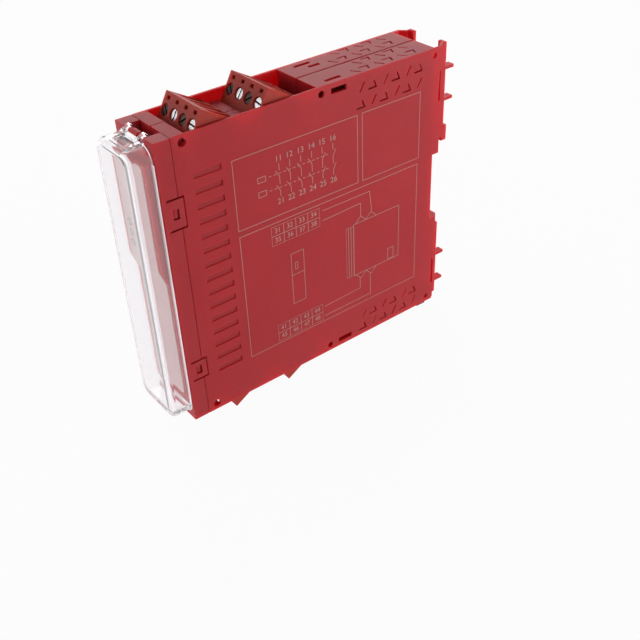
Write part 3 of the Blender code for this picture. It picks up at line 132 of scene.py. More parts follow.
print("the bezel's red in linear light:", [round(c, 3) for c in linear("#A8242B")[:3]])

# %% [markdown]
# ## Studio light and floor
#
# The module stood on a white table in a tent of white cloth. A large soft box behind and to the left lights the
# top, and its reflection turns the top faces pink. A second one stands close on the right and low, nearer to the
# rail than to the bezel, so that the side grows lighter towards the back. A weak third one fills the front.
# The table is lit through from below, as a product photographer's acrylic table is. Table and tent are white to
# the camera, to reflections and to light that comes through the clear cover, while they light the module only as
# far as a plain level, and a little less from straight above. A picture of a studio could be wrapped around the
# scene instead, but a few lamps can be set one by one.

# %% Hang the white tent
def seen_rays(tree):
    """1 for rays from the camera, from mirrors and through clear walls, and 0 for those that light a surface."""
    ray = add(tree, "LightPath", {}).outputs
    direct = add(tree, "Math", {0: ray["Is Camera Ray"], 1: ray["Is Glossy Ray"]}, operation="ADD")
    seen = add(
        tree, "Math", {0: direct.outputs[0], 1: ray["Is Transmission Ray"]}, operation="ADD", use_clamp=True)
    return seen.outputs[0]


world = bpy.data.worlds.new("white_tent")
bpy.context.scene.world = world
world.use_nodes = True
world.node_tree.nodes.clear()
tree = world.node_tree
direction = add(tree, "TexCoord", {}).outputs["Generated"]
height = add(tree, "SeparateXYZ", {"Vector": direction}).outputs["Z"]
tent = add(tree, "MapRange", {
    "Value": height, "From Min": 0.45, "From Max": 0.95, "To Min": 0.44, "To Max": 0.30})
level = add(tree, "MapRange", {"Value": seen_rays(tree), "To Min": tent.outputs[0], "To Max": 1.0})
sky = add(tree, "Background", {"Color": linear("#FFFFFF"), "Strength": level.outputs[0]})
add(tree, "OutputWorld", {"Surface": sky.outputs[0]})
print("world", world.name, "with", len(tree.nodes), "nodes")

# %% Place the soft boxes
def soft_box(name, towards, distance, size, power):
    """A square area lamp that looks at the module from the direction given."""
    middle = (cad_low + cad_high) / 2
    place = middle + Vector(towards).normalized() * distance
    bpy.ops.object.light_add(type="AREA", location=place)
    lamp = bpy.context.object
    lamp.name = name
    lamp.rotation_euler = (place - middle).to_track_quat("Z", "Y").to_euler()
    lamp.data.size = size
    lamp.data.energy = power
    print(name, power, "W")


soft_box("soft_box_behind", towards=(-0.646, 0.481, 0.593), distance=0.75, size=0.62, power=1.5)
soft_box("soft_box_right", towards=(0.80, 0.58, 0.10), distance=0.55, size=0.22, power=1.2)
soft_box("soft_box_front", towards=(-0.45, -0.86, 0.22), distance=0.60, size=0.40, power=0.9)

# %% Lay the floor
TABLE_SIZE = 6.0

bpy.ops.object.select_all(action="DESELECT")
bpy.ops.mesh.primitive_plane_add(size=TABLE_SIZE, location=(0.0, 0.0, cad_low.z))
floor = bpy.context.object
floor.name = "white_table"
bpy.ops.object.transform_apply(location=True)
finish, tree, _ = new_finish("white_acrylic_table")
glow_share = add(tree, "MapRange", {"Value": seen_rays(tree), "To Min": 0.55, "To Max": 0.95})
paint = add(tree, "BsdfDiffuse", {"Color": linear("#F4F4F4")})
glow = add(tree, "Emission", {"Color": linear("#FFFFFF"), "Strength": 1.0})
table = add(tree, "MixShader", {0: glow_share.outputs[0], 1: paint.outputs[0], 2: glow.outputs[0]})
add(tree, "OutputMaterial", {"Surface": table.outputs[0]})
floor.data.materials.append(finish)
print("floor at", round(cad_low.z / MM, 2), "mm")

# %% [markdown]
# ## The moulded plastics
#
# The case, bezel and terminal blocks are glass-filled polyamide, moulded in tools with a fine spark-eroded
# texture. That texture is what makes the red look matt with a broad soft sheen. It is 0.1 to 0.3 mm across, so
# in the picture it is drawn a little coarser to show at all. A slow drift in the colour, from the flow of the
# melt, keeps large faces from looking painted. The walls are about 1 mm thin and let some red light seep through,
# so the case is given subsurface scattering, which makes thin walls and edges glow. The texture could be an image,
# but noise in the object's own coordinates needs no unwrapping and shows no seams.

# %% How a moulded plastic is made up
DRIFT_MM = 22.0
SPECK_PER_GRAIN = 1.7
GRAIN_DEPTH = 0.02 * MM
POLYAMIDE_IOR = 1.53
SEEP_DEPTH = 6.0 * MM
SEEP_BY_COLOUR = (1.0, 0.12, 0.10)


def per_metre(size_mm):
    """The texture scale at which one feature is about this many millimetres across."""
    return 1.0 / (size_mm * MM)


def two_tone(tree, factor, first_at, first, last_at, last):
    """A colour that goes from one tone to another as the factor rises."""
    tone = add(tree, "ValToRGB", {"Fac": factor})
    for stop, place, colour in zip(tone.color_ramp.elements, (first_at, last_at), (first, last)):
        stop.position = place
        stop.color = linear(colour)
    return tone


def moulded_plastic(name, colour, pale, grain_mm, low_rough, high_rough, sheen, seep=0.0):
    """Matt moulded plastic: slow colour drift, a fine eroded grain, and patches that are a touch smoother."""
    finish, tree, place = new_finish(name)
    drift = add(tree, "TexNoise", {"Vector": place, "Scale": per_metre(DRIFT_MM), "Detail": 3.0, "Roughness": 0.55})
    speck = add(tree, "TexNoise", {
        "Vector": place, "Scale": per_metre(grain_mm * SPECK_PER_GRAIN), "Detail": 2.0})
    blend = add(tree, "Math", {0: drift.outputs["Fac"], 1: speck.outputs["Fac"]}, operation="MULTIPLY")
    tone = two_tone(tree, blend.outputs[0], 0.12, colour, 0.42, pale)
    rough = add(tree, "MapRange", {"Value": drift.outputs["Fac"], "To Min": low_rough, "To Max": high_rough})
    grain = add(tree, "TexNoise", {"Vector": place, "Scale": per_metre(grain_mm), "Detail": 2.0})
    relief = add(tree, "Bump", {"Height": grain.outputs["Fac"], "Strength": 0.35, "Distance": GRAIN_DEPTH})
    plastic = add(tree, "BsdfPrincipled", {
        "Base Color": tone.outputs["Color"], "Roughness": rough.outputs[0], "Normal": relief.outputs["Normal"],
        "IOR": POLYAMIDE_IOR, "Specular IOR Level": sheen, "Subsurface Weight": seep,
        "Subsurface Scale": SEEP_DEPTH, "Subsurface Radius": SEEP_BY_COLOUR})
    add(tree, "OutputMaterial", {"Surface": plastic.outputs[0]})
    return finish


print("the colour drifts over", DRIFT_MM, "mm, at a texture scale of", round(per_metre(DRIFT_MM), 1))

# %% Red, brown-red and black polyamide, and the smaller plastics
HOUSING_RED = moulded_plastic("red_polyamide_eroded", "#B0222A", "#B92A31", 0.35, 0.42, 0.52, 0.21, 1.0)
# Polished red for the floors of the sunk bars, its darker colour painted shade.
POLISHED_RED_PAINTED_SHADE = moulded_plastic("red_polyamide_polished_painted_shade", "#981A22", "#A02129", 0.6, 0.30, 0.38, 0.24)
BEZEL_RED = moulded_plastic("red_polyamide_bezel", "#A8242B", "#B02C33", 0.35, 0.38, 0.48, 0.20, 0.7)
PLUG_RED = moulded_plastic("brown_red_polyamide_plug", "#A0362C", "#AA4034", 0.3, 0.40, 0.50, 0.15, 0.6)
BLACK_POLYAMIDE = moulded_plastic("black_polyamide_satin", "#1B1A1B", "#242324", 0.3, 0.38, 0.50, 0.45)
RELAY_IVORY = moulded_plastic("pbt_relay_case_ivory", "#CBC9BE", "#D8D6CC", 0.3, 0.35, 0.48, 0.4)
VARISTOR_BLUE = moulded_plastic("epoxy_dipped_blue", "#20458F", "#2C55A4", 0.6, 0.22, 0.36, 0.5)
LENS_EPOXY = moulded_plastic("epoxy_lens_diffused", "#C6D2AC", "#D6DEC2", 0.2, 0.15, 0.28, 0.5)
LABEL_ROSE = moulded_plastic("polyester_label_rose", "#C4A5A3", "#CBADAB", 0.25, 0.38, 0.50, 0.4)
PALE_INK = moulded_plastic("pad_print_ink_rose", "#B67E77", "#C28E86", 0.25, 0.45, 0.58, 0.3)
GREY_INK = moulded_plastic("pad_print_ink_grey", "#7D7F86", "#8B8D94", 0.25, 0.45, 0.58, 0.3)
print("moulded finishes:", HOUSING_RED.name, BEZEL_RED.name, PLUG_RED.name, BLACK_POLYAMIDE.name)

# %% [markdown]
# ## Clear polycarbonate
#
# The cover is clear polycarbonate, IOR 1.585, moulded in a polished tool. Each of its surfaces mirrors a little
# of the white table, more so where it is seen at a slant, and that lays a pale veil over the red behind it. A slow
# waviness of the surface, from the flow of the melt, bends what is seen through it. Where the wall is seen
# edge-on, more of it lies in the way and it looks greyer. Lamps shine through it, so a Transparent shader takes
# its place for shadow rays. The rounded edges get a second, milky finish that glows a little: a painted highlight,
# which stands in for the bright band of light that these edges catch.

# %% Clear polycarbonate
POLYCARBONATE_IOR = 1.585

CLEAR, tree, place = new_finish("clear_polycarbonate_polished")
waves = add(tree, "TexNoise", {"Vector": place, "Scale": per_metre(9.0), "Detail": 1.0})
relief = add(tree, "Bump", {"Height": waves.outputs["Fac"], "Strength": 0.25, "Distance": 0.05 * MM})
wiped = add(tree, "TexNoise", {"Vector": place, "Scale": per_metre(3.0), "Detail": 4.0})
rough = add(tree, "MapRange", {"Value": wiped.outputs["Fac"], "To Min": 0.005, "To Max": 0.05})
slant = add(tree, "LayerWeight", {"Blend": 0.5})
tint = two_tone(tree, slant.outputs["Facing"], 0.80, "#FDFCFE", 0.97, "#9A9AA4")
clear = add(tree, "BsdfPrincipled", {
    "Base Color": tint.outputs[0], "Roughness": rough.outputs[0], "Normal": relief.outputs["Normal"],
    "IOR": POLYCARBONATE_IOR, "Transmission Weight": 0.99, "Coat Weight": 0.25, "Coat Roughness": 0.03,
    "Coat IOR": 1.7})
shadow = add(tree, "LightPath", {}).outputs["Is Shadow Ray"]
through = add(tree, "BsdfTransparent", {"Color": linear("#FBFAFC")})
wall = add(tree, "MixShader", {0: shadow, 1: clear.outputs[0], 2: through.outputs[0]})
add(tree, "OutputMaterial", {"Surface": wall.outputs[0]})
print("clear finish:", CLEAR.name)

# %% The milky finish of its edges, a painted highlight
MILKY_PAINTED_HIGHLIGHT, tree, place = new_finish("clear_polycarbonate_painted_edge_highlight")
haze = add(tree, "TexNoise", {"Vector": place, "Scale": per_metre(6.0), "Detail": 2.0})
rough = add(tree, "MapRange", {"Value": haze.outputs["Fac"], "To Min": 0.10, "To Max": 0.22})
# A pale base and a little emission: a painted highlight that glows though it is no lamp.
milk_painted_highlight = add(tree, "BsdfPrincipled", {
    "Base Color": linear("#F1EDF1"), "Roughness": rough.outputs[0], "IOR": POLYCARBONATE_IOR,
    "Transmission Weight": 0.7, "Emission Color": linear("#FFFFFF"), "Emission Strength": 0.13})
add(tree, "OutputMaterial", {"Surface": milk_painted_highlight.outputs[0]})
print("edge finish:", MILKY_PAINTED_HIGHLIGHT.name)

# %% [markdown]
# ## Plated steel
#
# The clamp screws are zinc-plated steel, the odd-numbered ones painted dark as shade, and the box clamps are
# steel with a yellower plating. The header pins are tinned brass. Zinc shows a fine crystal bloom, which is a
# slow change of roughness. A metal keeps its colour in its reflections, so it is made by the Metallic input and
# not by a grey paint.

# %% Plated steels
def plated_steel(name, dull, bright, low_rough, high_rough):
    """Zinc-plated steel: a bloom about half a millimetre across in its colour and its roughness."""
    finish, tree, place = new_finish(name)
    bloom = add(tree, "TexNoise", {"Vector": place, "Scale": per_metre(0.5), "Detail": 3.0})
    tone = two_tone(tree, bloom.outputs["Fac"], 0.35, dull, 0.65, bright)
    rough = add(tree, "MapRange", {"Value": bloom.outputs["Fac"], "To Min": low_rough, "To Max": high_rough})
    relief = add(tree, "Bump", {"Height": bloom.outputs["Fac"], "Strength": 0.2, "Distance": 0.01 * MM})
    metal = add(tree, "BsdfPrincipled", {
        "Base Color": tone.outputs["Color"], "Roughness": rough.outputs[0], "Normal": relief.outputs["Normal"],
        "Metallic": 1.0})
    add(tree, "OutputMaterial", {"Surface": metal.outputs[0]})
    return finish


SCREW_ZINC = plated_steel("zinc_plated_steel_bright", "#B4B6BA", "#DCDEE0", 0.14, 0.26)
# A dark copy of the same zinc: painted shade for every other screw.
SCREW_PAINTED_SHADE = plated_steel("zinc_plated_steel_painted_shade", "#302928", "#473D3B", 0.30, 0.42)
CAGE_ZINC = plated_steel("zinc_plated_steel_yellowed", "#5E594E", "#746E60", 0.38, 0.52)
TINNED_BRASS = plated_steel("tinned_brass_pins", "#BDBBB4", "#D6D4CC", 0.18, 0.30)
print("metals:", SCREW_ZINC.name, SCREW_PAINTED_SHADE.name, CAGE_ZINC.name, TINNED_BRASS.name)

# %% [markdown]
# ## Board, tape, sleeve and light pipe
#
# These stand inside and show only through slots and windows. The board is glass-epoxy laminate under green
# resist, and the copper under it shows as paler tracks about 1 mm wide, drawn by a brick pattern laid in the
# board's plane. The transformer is wound with amber tape that overlaps every 6 mm, and a shrink sleeve on a
# capacitor carries one pale stripe, which is put where the surface faces up. So little of them shows that tracks
# and tapes need no shapes of their own.

# %% Board and tape
def laid_in_rows(name, one, two, joint, row_mm, length_mm, joint_mm, rough):
    """Rows of long patches in the upright plane of the board: copper tracks, or the overlaps of a tape."""
    finish, tree, place = new_finish(name)
    upright = add(tree, "Mapping", {"Vector": place, "Rotation": (0.0, math.radians(90.0), 0.0)})
    rows = add(tree, "TexBrick", {
        "Vector": upright.outputs[0], "Color1": linear(one), "Color2": linear(two), "Mortar": linear(joint),
        "Scale": per_metre(1.0), "Mortar Size": joint_mm, "Brick Width": length_mm, "Row Height": row_mm})
    relief = add(tree, "Bump", {"Height": rows.outputs["Fac"], "Strength": 0.4, "Distance": 0.03 * MM})
    relief.invert = True
    coat = add(tree, "BsdfPrincipled", {
        "Base Color": rows.outputs["Color"], "Roughness": rough, "Normal": relief.outputs["Normal"]})
    add(tree, "OutputMaterial", {"Surface": coat.outputs[0]})
    return finish


FR4 = laid_in_rows("fr4_laminate_green_resist", "#12633A", "#1A7446", "#0C4A2A", 1.3, 7.0, 0.3, 0.28)
COIL_TAPE = laid_in_rows("polyester_tape_amber", "#C9A02E", "#D3AC3C", "#A8821E", 6.0, 60.0, 0.15, 0.22)
print("finishes in rows:", FR4.name, COIL_TAPE.name)

# %% Sleeve and light pipe
SLEEVE, tree, place = new_finish("pvc_shrink_sleeve_black")
facing = add(tree, "SeparateXYZ", {"Vector": add(tree, "NewGeometry", {}).outputs["Normal"]}).outputs["Z"]
stripe = two_tone(tree, facing, 0.0, "#17181E", 0.9, "#A9AEB8")
stripe.color_ramp.interpolation = "CONSTANT"
wrinkle = add(tree, "TexNoise", {"Vector": place, "Scale": per_metre(2.0), "Detail": 2.0})
relief = add(tree, "Bump", {"Height": wrinkle.outputs["Fac"], "Strength": 0.3, "Distance": 0.05 * MM})
sleeve = add(tree, "BsdfPrincipled", {
    "Base Color": stripe.outputs["Color"], "Roughness": 0.25, "Normal": relief.outputs["Normal"]})
add(tree, "OutputMaterial", {"Surface": sleeve.outputs[0]})

PIPE_ACRYLIC, tree, place = new_finish("acrylic_light_pipe")
haze = add(tree, "TexNoise", {"Vector": place, "Scale": per_metre(0.8), "Detail": 2.0})
rough = add(tree, "MapRange", {"Value": haze.outputs["Fac"], "To Min": 0.05, "To Max": 0.25})
acrylic = add(tree, "BsdfPrincipled", {
    "Base Color": linear("#F2F4EE"), "Roughness": rough.outputs[0], "IOR": 1.49, "Transmission Weight": 0.7})
add(tree, "OutputMaterial", {"Surface": acrylic.outputs[0]})
print("sleeve and pipe finishes:", SLEEVE.name, PIPE_ACRYLIC.name)

# %% [markdown]
# ## Taking up a piece and rounding its edges
#
# An operator works on whatever is selected, and loading the model leaves all its nodes selected. So each step
# below starts by clearing the selection and taking up one piece. A CAD mesh is made of loose triangles, so a copy
# of it is merged into whole flat faces first.
#
# A moulding tool leaves a small radius on every edge, and the Bevel modifier makes it, but a bevel that is wider
# than a thin face folds that face over itself. So an edge is only rounded where both faces beside it have room
# for the radius, all along the edge, and a bevel weight tells the modifier which edges these are.

# %% Take up one piece, and let it stand for its node
MERGE_GAP = 0.002 * MM
FLAT_WITHIN = math.radians(0.4)


def only(piece):
    """Makes this piece the only selected one, and the active one."""
    bpy.ops.object.select_all(action="DESELECT")
    piece.select_set(True)
    bpy.context.view_layer.objects.active = piece


def merged_copy(node, name):
    """A copy of a CAD node's mesh with its loose triangles merged into whole flat faces."""
    piece = bpy.data.objects.new(name, NODES[node].data.copy())
    bpy.context.scene.collection.objects.link(piece)
    only(piece)
    bpy.ops.mesh.customdata_custom_splitnormals_clear()
    bpy.ops.object.mode_set(mode="EDIT")
    bpy.ops.mesh.select_all(action="SELECT")
    bpy.ops.mesh.remove_doubles(threshold=MERGE_GAP)
    bpy.ops.mesh.dissolve_limited(angle_limit=FLAT_WITHIN)
    bpy.ops.object.mode_set(mode="OBJECT")
    piece.data.materials.clear()
    return piece


def stands_for(piece, finish, body, node):
    """Gives a piece its finish, and lets it stand for a CAD node and move with that node's body."""
    piece.data.materials.append(finish)
    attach(piece, body)
    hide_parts(node)
    print(piece.name, len(piece.data.polygons), "faces")


print("corners merge within", round(MERGE_GAP / MM, 4), "mm")

# %% Find the edges that have room for a radius
ROOM_STEP = 1.5 * MM


def has_room(mesh, edge, face, room):
    """Whether a face is wider than this all along one of its edges, so that a radius there meets nothing."""
    start, end = (mesh.vertices[i].co for i in edge.vertices)
    steps = 2 + int((end - start).length / ROOM_STEP)
    points = [start.lerp(end, step / steps) for step in range(steps + 1)]
    for key in face.edge_keys:
        if key[0] in edge.vertices or key[1] in edge.vertices:
            continue
        low, high = (mesh.vertices[i].co for i in key)
        for point in points:
            share = intersect_point_line(point, low, high)[1]
            if (low.lerp(high, min(max(share, 0.0), 1.0)) - point).length < room:
                return False
    return True


def edges_with_room(piece, radius_mm, from_degrees, room_share, long_mm=0.0):
    """The edges that turn by more than an angle, with room for this radius on both faces and at both ends."""
    mesh = piece.data
    room = room_share * radius_mm * MM
    sides = {}
    for face in mesh.polygons:
        for key in face.edge_keys:
            sides.setdefault(key, []).append(face)
    length = [(mesh.vertices[a].co - mesh.vertices[b].co).length for a, b in mesh.edge_keys]
    crowded = set()
    for edge in mesh.edges:
        if length[edge.index] < room:
            crowded.update(edge.vertices)
    chosen = []
    for edge in mesh.edges:
        one, two = sides[edge.key]
        if one.normal.angle(two.normal, 0.0) < math.radians(from_degrees) or length[edge.index] < long_mm * MM:
            continue
        if crowded.isdisjoint(edge.vertices) and all(has_room(mesh, edge, face, room) for face in (one, two)):
            chosen.append(edge.index)
    return chosen


print("room is looked for every", round(ROOM_STEP / MM, 1), "mm along an edge")

# %% Round those edges
LONG_EDGE_MM = 30.0
SMOOTH_WITHIN = math.radians(40.0)


def round_edges(piece, radius_mm, from_degrees=32.0, room_share=2.2, bold_mm=0.0):
    """Rounds the edges as a moulding tool leaves them, and the long ones by a bolder radius where one is given.

    A face has to be `room_share` radii wide beside the edge, and with 0 every edge that turns enough is rounded.
    """
    only(piece)
    widest = max(radius_mm, bold_mm)
    weight = piece.data.attributes.new("bevel_weight_edge", "FLOAT", "EDGE")
    for index in edges_with_room(piece, radius_mm, from_degrees, room_share):
        weight.data[index].value = radius_mm / widest
    if bold_mm:
        for index in edges_with_room(piece, bold_mm, from_degrees, room_share, long_mm=LONG_EDGE_MM):
            weight.data[index].value = 1.0
    bevel = piece.modifiers.new("tool_radius", "BEVEL")
    bevel.width = widest * MM
    bevel.segments = 2
    bevel.limit_method = "WEIGHT"
    bevel.use_clamp_overlap = False
    bpy.ops.object.modifier_apply(modifier=bevel.name)
    bpy.ops.object.shade_smooth_by_angle(angle=SMOOTH_WITHIN)
    even = piece.modifiers.new("even_shading", "WEIGHTED_NORMAL")
    even.keep_sharp = True
    bpy.ops.object.modifier_apply(modifier=even.name)


print("edges from", LONG_EDGE_MM, "mm on may get a bolder radius")

# %% [markdown]
# ## The half shells
#
# The two halves are mirrored mouldings. A merged copy of each CAD half gets a small radius on its edges,
# because a moulded edge is never sharp, and the thin bright line that it catches is what shows the thickness of
# the walls. The near half also carries a column of plain bars sunk 0.5 mm into its face. Bars could be cut one by
# one, but one bar that an array repeats keeps their spacing even. The floors of the bars are polished in the tool,
# so they are smoother than the face, and their red is darker as painted shade in the recess. They are found by
# where they lie and look: `CLOSE` says how near to a place a face has to be, and `ALONG` how well its normal has
# to follow a direction.

# %% Sink the bars into the near half
BAR_AREA_LOW = Vector((11.25, -103.0, -35.4)) * MM
BAR_AREA_HIGH = Vector((11.25, -93.2, 40.0)) * MM
BAR_COUNT = 15
BAR_WIDTH = 2.0 * MM
BAR_DEPTH = 0.5 * MM


def cut_row(piece, cutter, count, step):
    """Repeats a cutter upwards, takes all of it out of a piece, and removes the cutter."""
    only(cutter)
    row = cutter.modifiers.new("row", "ARRAY")
    row.count = count
    row.use_relative_offset = False
    row.use_constant_offset = True
    row.constant_offset_displace = (0.0, 0.0, step)
    bpy.ops.object.modifier_apply(modifier=row.name)
    only(piece)
    cut = piece.modifiers.new("cut", "BOOLEAN")
    cut.operation = "DIFFERENCE"
    cut.object = cutter
    bpy.ops.object.modifier_apply(modifier=cut.name)
    bpy.data.objects.remove(cutter)


near_half = merged_copy("housing_right_half", "half_shell_near")
bar_pitch = (BAR_AREA_HIGH.z - BAR_AREA_LOW.z - BAR_WIDTH) / (BAR_COUNT - 1)
bpy.ops.object.select_all(action="DESELECT")
bpy.ops.mesh.primitive_cube_add(size=1.0)
bar_cutter = bpy.context.object
bar_cutter.scale = (2 * BAR_DEPTH, BAR_AREA_HIGH.y - BAR_AREA_LOW.y, BAR_WIDTH)
bar_cutter.location = (BAR_AREA_LOW.x, (BAR_AREA_LOW.y + BAR_AREA_HIGH.y) / 2, BAR_AREA_LOW.z + BAR_WIDTH / 2)
bpy.ops.object.transform_apply(location=True, rotation=True, scale=True)
cut_row(near_half, bar_cutter, BAR_COUNT, bar_pitch)
print(BAR_COUNT, "bars, one every", round(bar_pitch / MM, 2), "mm")

# %% Round both halves
SHELL_RADIUS_MM = 0.16
SHELL_LONG_EDGE_RADIUS_MM = 0.4
CLOSE = 0.02 * MM
ALONG = 0.99

round_edges(near_half, SHELL_RADIUS_MM, bold_mm=SHELL_LONG_EDGE_RADIUS_MM)
stands_for(near_half, HOUSING_RED, "housing", "housing_right_half")
# The bar floors take the polished red, whose darker colour is painted shade in the recess.
near_half.data.materials.append(POLISHED_RED_PAINTED_SHADE)
bar_floor = BAR_AREA_LOW.x - BAR_DEPTH
for face in near_half.data.polygons:
    in_bars = BAR_AREA_LOW.y < face.center.y < BAR_AREA_HIGH.y and abs(face.center.x - bar_floor) < CLOSE
    face.material_index = 1 if in_bars and face.normal.x > ALONG else 0
print(sum(face.material_index for face in near_half.data.polygons), "polished bar floors")

far_half = merged_copy("housing_left_half", "half_shell_far")
round_edges(far_half, SHELL_RADIUS_MM, bold_mm=SHELL_LONG_EDGE_RADIUS_MM)
stands_for(far_half, HOUSING_RED, "housing", "housing_left_half")

# %% [markdown]
# ## Bezel, clip and terminal blocks
#
# The same two steps serve every other moulding that shows: merge a copy, then round its edges. The radius goes
# with the size of the piece, from 0.1 mm on the terminal blocks to 0.18 mm on the bezel. The bezel presses on the
# shell's rim when it is snapped on, so its rear face is moved back until only a hairline seam is left. The small
# test slots above the screws are deepened, so that they look as dark as they do on the real block.

# %% Close the seam of the bezel, and round it and the clip
BEZEL_RADIUS_MM = 0.18
CLIP_RADIUS_MM = 0.18
BEZEL_BACK = -109.2 * MM
SEAM_CLOSE = 0.2 * MM


def push_faces(piece, chosen, move):
    """Moves some faces of a piece, given by their numbers; the faces around them stretch to follow."""
    bpy.ops.object.mode_set(mode="EDIT")
    bpy.ops.mesh.select_mode(type="FACE")
    bpy.ops.mesh.select_all(action="DESELECT")
    bpy.ops.object.mode_set(mode="OBJECT")
    for number in chosen:
        piece.data.polygons[number].select = True
    bpy.ops.object.mode_set(mode="EDIT")
    bpy.ops.transform.translate(value=move)
    bpy.ops.object.mode_set(mode="OBJECT")


bezel = merged_copy("front_bezel", "bezel_moulding")
push_faces(bezel, [
    face.index for face in bezel.data.polygons
    if face.normal.y > ALONG and abs(face.center.y - BEZEL_BACK) < CLOSE], (0.0, SEAM_CLOSE, 0.0))
round_edges(bezel, BEZEL_RADIUS_MM)
stands_for(bezel, BEZEL_RED, "housing", "front_bezel")

clip = merged_copy("rail_clip", "clip_moulding")
round_edges(clip, CLIP_RADIUS_MM)
stands_for(clip, BLACK_POLYAMIDE, "clip", "rail_clip")

# %% Deepen the test slots of the terminal blocks, and round them
BAYS = ("top_front", "top_rear", "bottom_front", "bottom_rear")
PLUG_RADIUS_MM = 0.1
PLUG_TILT = math.radians(30.0)
SLOT_FLOOR_AREA = 1.7 * 1.2 * MM * MM
SLOT_AREA_WITHIN = 0.02 * MM * MM
SLOT_DEEPER = 2.0 * MM


def outwards(name):
    """The direction that the screw face of a terminal block looks in: 30 degrees up, or down at the bottom."""
    return Vector((0.0, -math.cos(PLUG_TILT), math.sin(PLUG_TILT) * (1.0 if "top" in name else -1.0)))


for label in BAYS:
    block = merged_copy("plug_" + label, "terminal_block_" + label)
    push_faces(block, [
        face.index for face in block.data.polygons
        if abs(face.area - SLOT_FLOOR_AREA) < SLOT_AREA_WITHIN], -SLOT_DEEPER * outwards(label))
    round_edges(block, PLUG_RADIUS_MM)
    stands_for(block, PLUG_RED, "plug_" + label, "plug_" + label)

# %% [markdown]
# ## The clear cover
#
# The cover is a deep thin shell with a narrow lip around its mouth, which shows a bright line of light along
# the bezel. The merged copy is cut round just above its mouth, and the band below the cut is pushed outwards by
# the width of the lip. A frame around the mouth would do too, but this way lip and wall stay one moulding. The lip
# and the faces that bend round the long front edges get the milky finish, whose glow is a painted highlight.

# %% Give the cover its lip
COVER_MOUTH = -114.9 * MM
COVER_MIDDLE_Z = 1.0 * MM
HINGE_SIDE = 46.0 * MM
LIP_HEIGHT = 0.35 * MM
LIP_WIDTH = 0.5 * MM
WALL_LEAN = 0.1

cover = merged_copy("clear_cover", "cover_moulding")
bpy.ops.object.mode_set(mode="EDIT")
bpy.ops.mesh.select_mode(type="FACE")
bpy.ops.mesh.select_all(action="SELECT")
bpy.ops.mesh.bisect(plane_co=(0.0, COVER_MOUTH - LIP_HEIGHT, 0.0), plane_no=(0.0, 1.0, 0.0))
bpy.ops.mesh.select_all(action="DESELECT")
bpy.ops.object.mode_set(mode="OBJECT")
for face in cover.data.polygons:
    outward = face.normal.x * face.center.x + face.normal.z * (face.center.z - COVER_MIDDLE_Z) > 0.0
    in_band = face.center.y > COVER_MOUTH - LIP_HEIGHT and abs(face.normal.y) < WALL_LEAN
    face.select = outward and in_band and face.center.z < HINGE_SIDE
bpy.ops.object.mode_set(mode="EDIT")
bpy.ops.mesh.extrude_region_shrink_fatten(
    TRANSFORM_OT_shrink_fatten={"value": LIP_WIDTH, "use_even_offset": True})
bpy.ops.object.mode_set(mode="OBJECT")
print("lip", round(LIP_WIDTH / MM, 2), "mm wide on", len(cover.data.polygons), "faces of cover")

# %% Round the cover and paint a glowing highlight on its edges
COVER_RADIUS_MM = 0.2
STEEP_DEGREES = 40.0
COVER_FRONT_BEND = -118.0 * MM
BEND_LEAN = (0.2, 0.985)
BEND_SIDEWAYS = 0.17
LIP_BLEND = 0.1 * MM

round_edges(cover, COVER_RADIUS_MM, from_degrees=STEEP_DEGREES)
stands_for(cover, CLEAR, "cover", "clear_cover")
# The second slot is the milky finish: its pale colour and glow are a painted highlight on the edges.
cover.data.materials.append(MILKY_PAINTED_HIGHLIGHT)
for face in cover.data.polygons:
    turns = BEND_LEAN[0] < abs(face.normal.y) < BEND_LEAN[1] and abs(face.normal.x) > BEND_SIDEWAYS
    bends = turns and face.center.y < COVER_FRONT_BEND
    on_lip = face.center.y > COVER_MOUTH - LIP_HEIGHT - LIP_BLEND and face.center.z < HINGE_SIDE
    face.material_index = 1 if bends or on_lip else 0
print(sum(face.material_index for face in cover.data.polygons), "faces of glowing edge")

# %% [markdown]
# ## The clamp screws
#
# All sixteen screws are the same turned piece with a slot. Each CAD screw keeps its own turn of the slot, so
# each copy is taken from its own node. Its head is made a little taller, so that it nearly fills its hole, and a
# small radius on the head and slot gives the bright rim of a tumbled screw.

# %% Round the screws
SCREW_RADIUS_MM = 0.1
HEAD_RISE = 0.6 * MM

for node in sorted(NODES):
    if node.startswith("screw_"):
        screw = merged_copy(node, "turned_" + node)
        axis = outwards(node)
        reach = max(axis.dot(corner.co) for corner in screw.data.vertices)
        push_faces(screw, [
            face.index for face in screw.data.polygons
            if axis.dot(face.normal) > ALONG and axis.dot(face.center) > reach - CLOSE], HEAD_RISE * axis)
        round_edges(screw, SCREW_RADIUS_MM, from_degrees=STEEP_DEGREES, room_share=0.0)
        # Odd-numbered screws wear the dark copy of the zinc, which is painted shade.
        stands_for(screw, SCREW_ZINC if int(node[-1]) % 2 == 0 else SCREW_PAINTED_SHADE, node, node)

# %% [markdown]
# ## Headers and what stands on the boards
#
# A header is a black shroud with four tinned pins, moulded around them. After merging, only the pins are made of
# small faces, so the pins are found by the area of their faces and get a second material slot. Relays,
# transformer, capacitors, varistor, lamps and light pipes keep their CAD shapes with the radius that each has:
# a soft one on a dipped varistor, a tight one on a relay case. The box clamps are deep inside the terminal blocks,
# so their CAD nodes only get a finish.

# %% Dress the headers
HEADER_RADIUS_MM = 0.1
PIN_FACE_LIMIT = 9.0 * MM * MM

for label in BAYS:
    header = merged_copy("header_" + label, "pin_header_" + label)
    header.data.materials.append(BLACK_POLYAMIDE)
    header.data.materials.append(TINNED_BRASS)
    for face in header.data.polygons:
        face.material_index = 1 if face.area < PIN_FACE_LIMIT else 0
    round_edges(header, HEADER_RADIUS_MM)
    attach(header, "housing")
    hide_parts("header_" + label)
    print(header.name, sum(face.material_index for face in header.data.polygons), "pin faces")

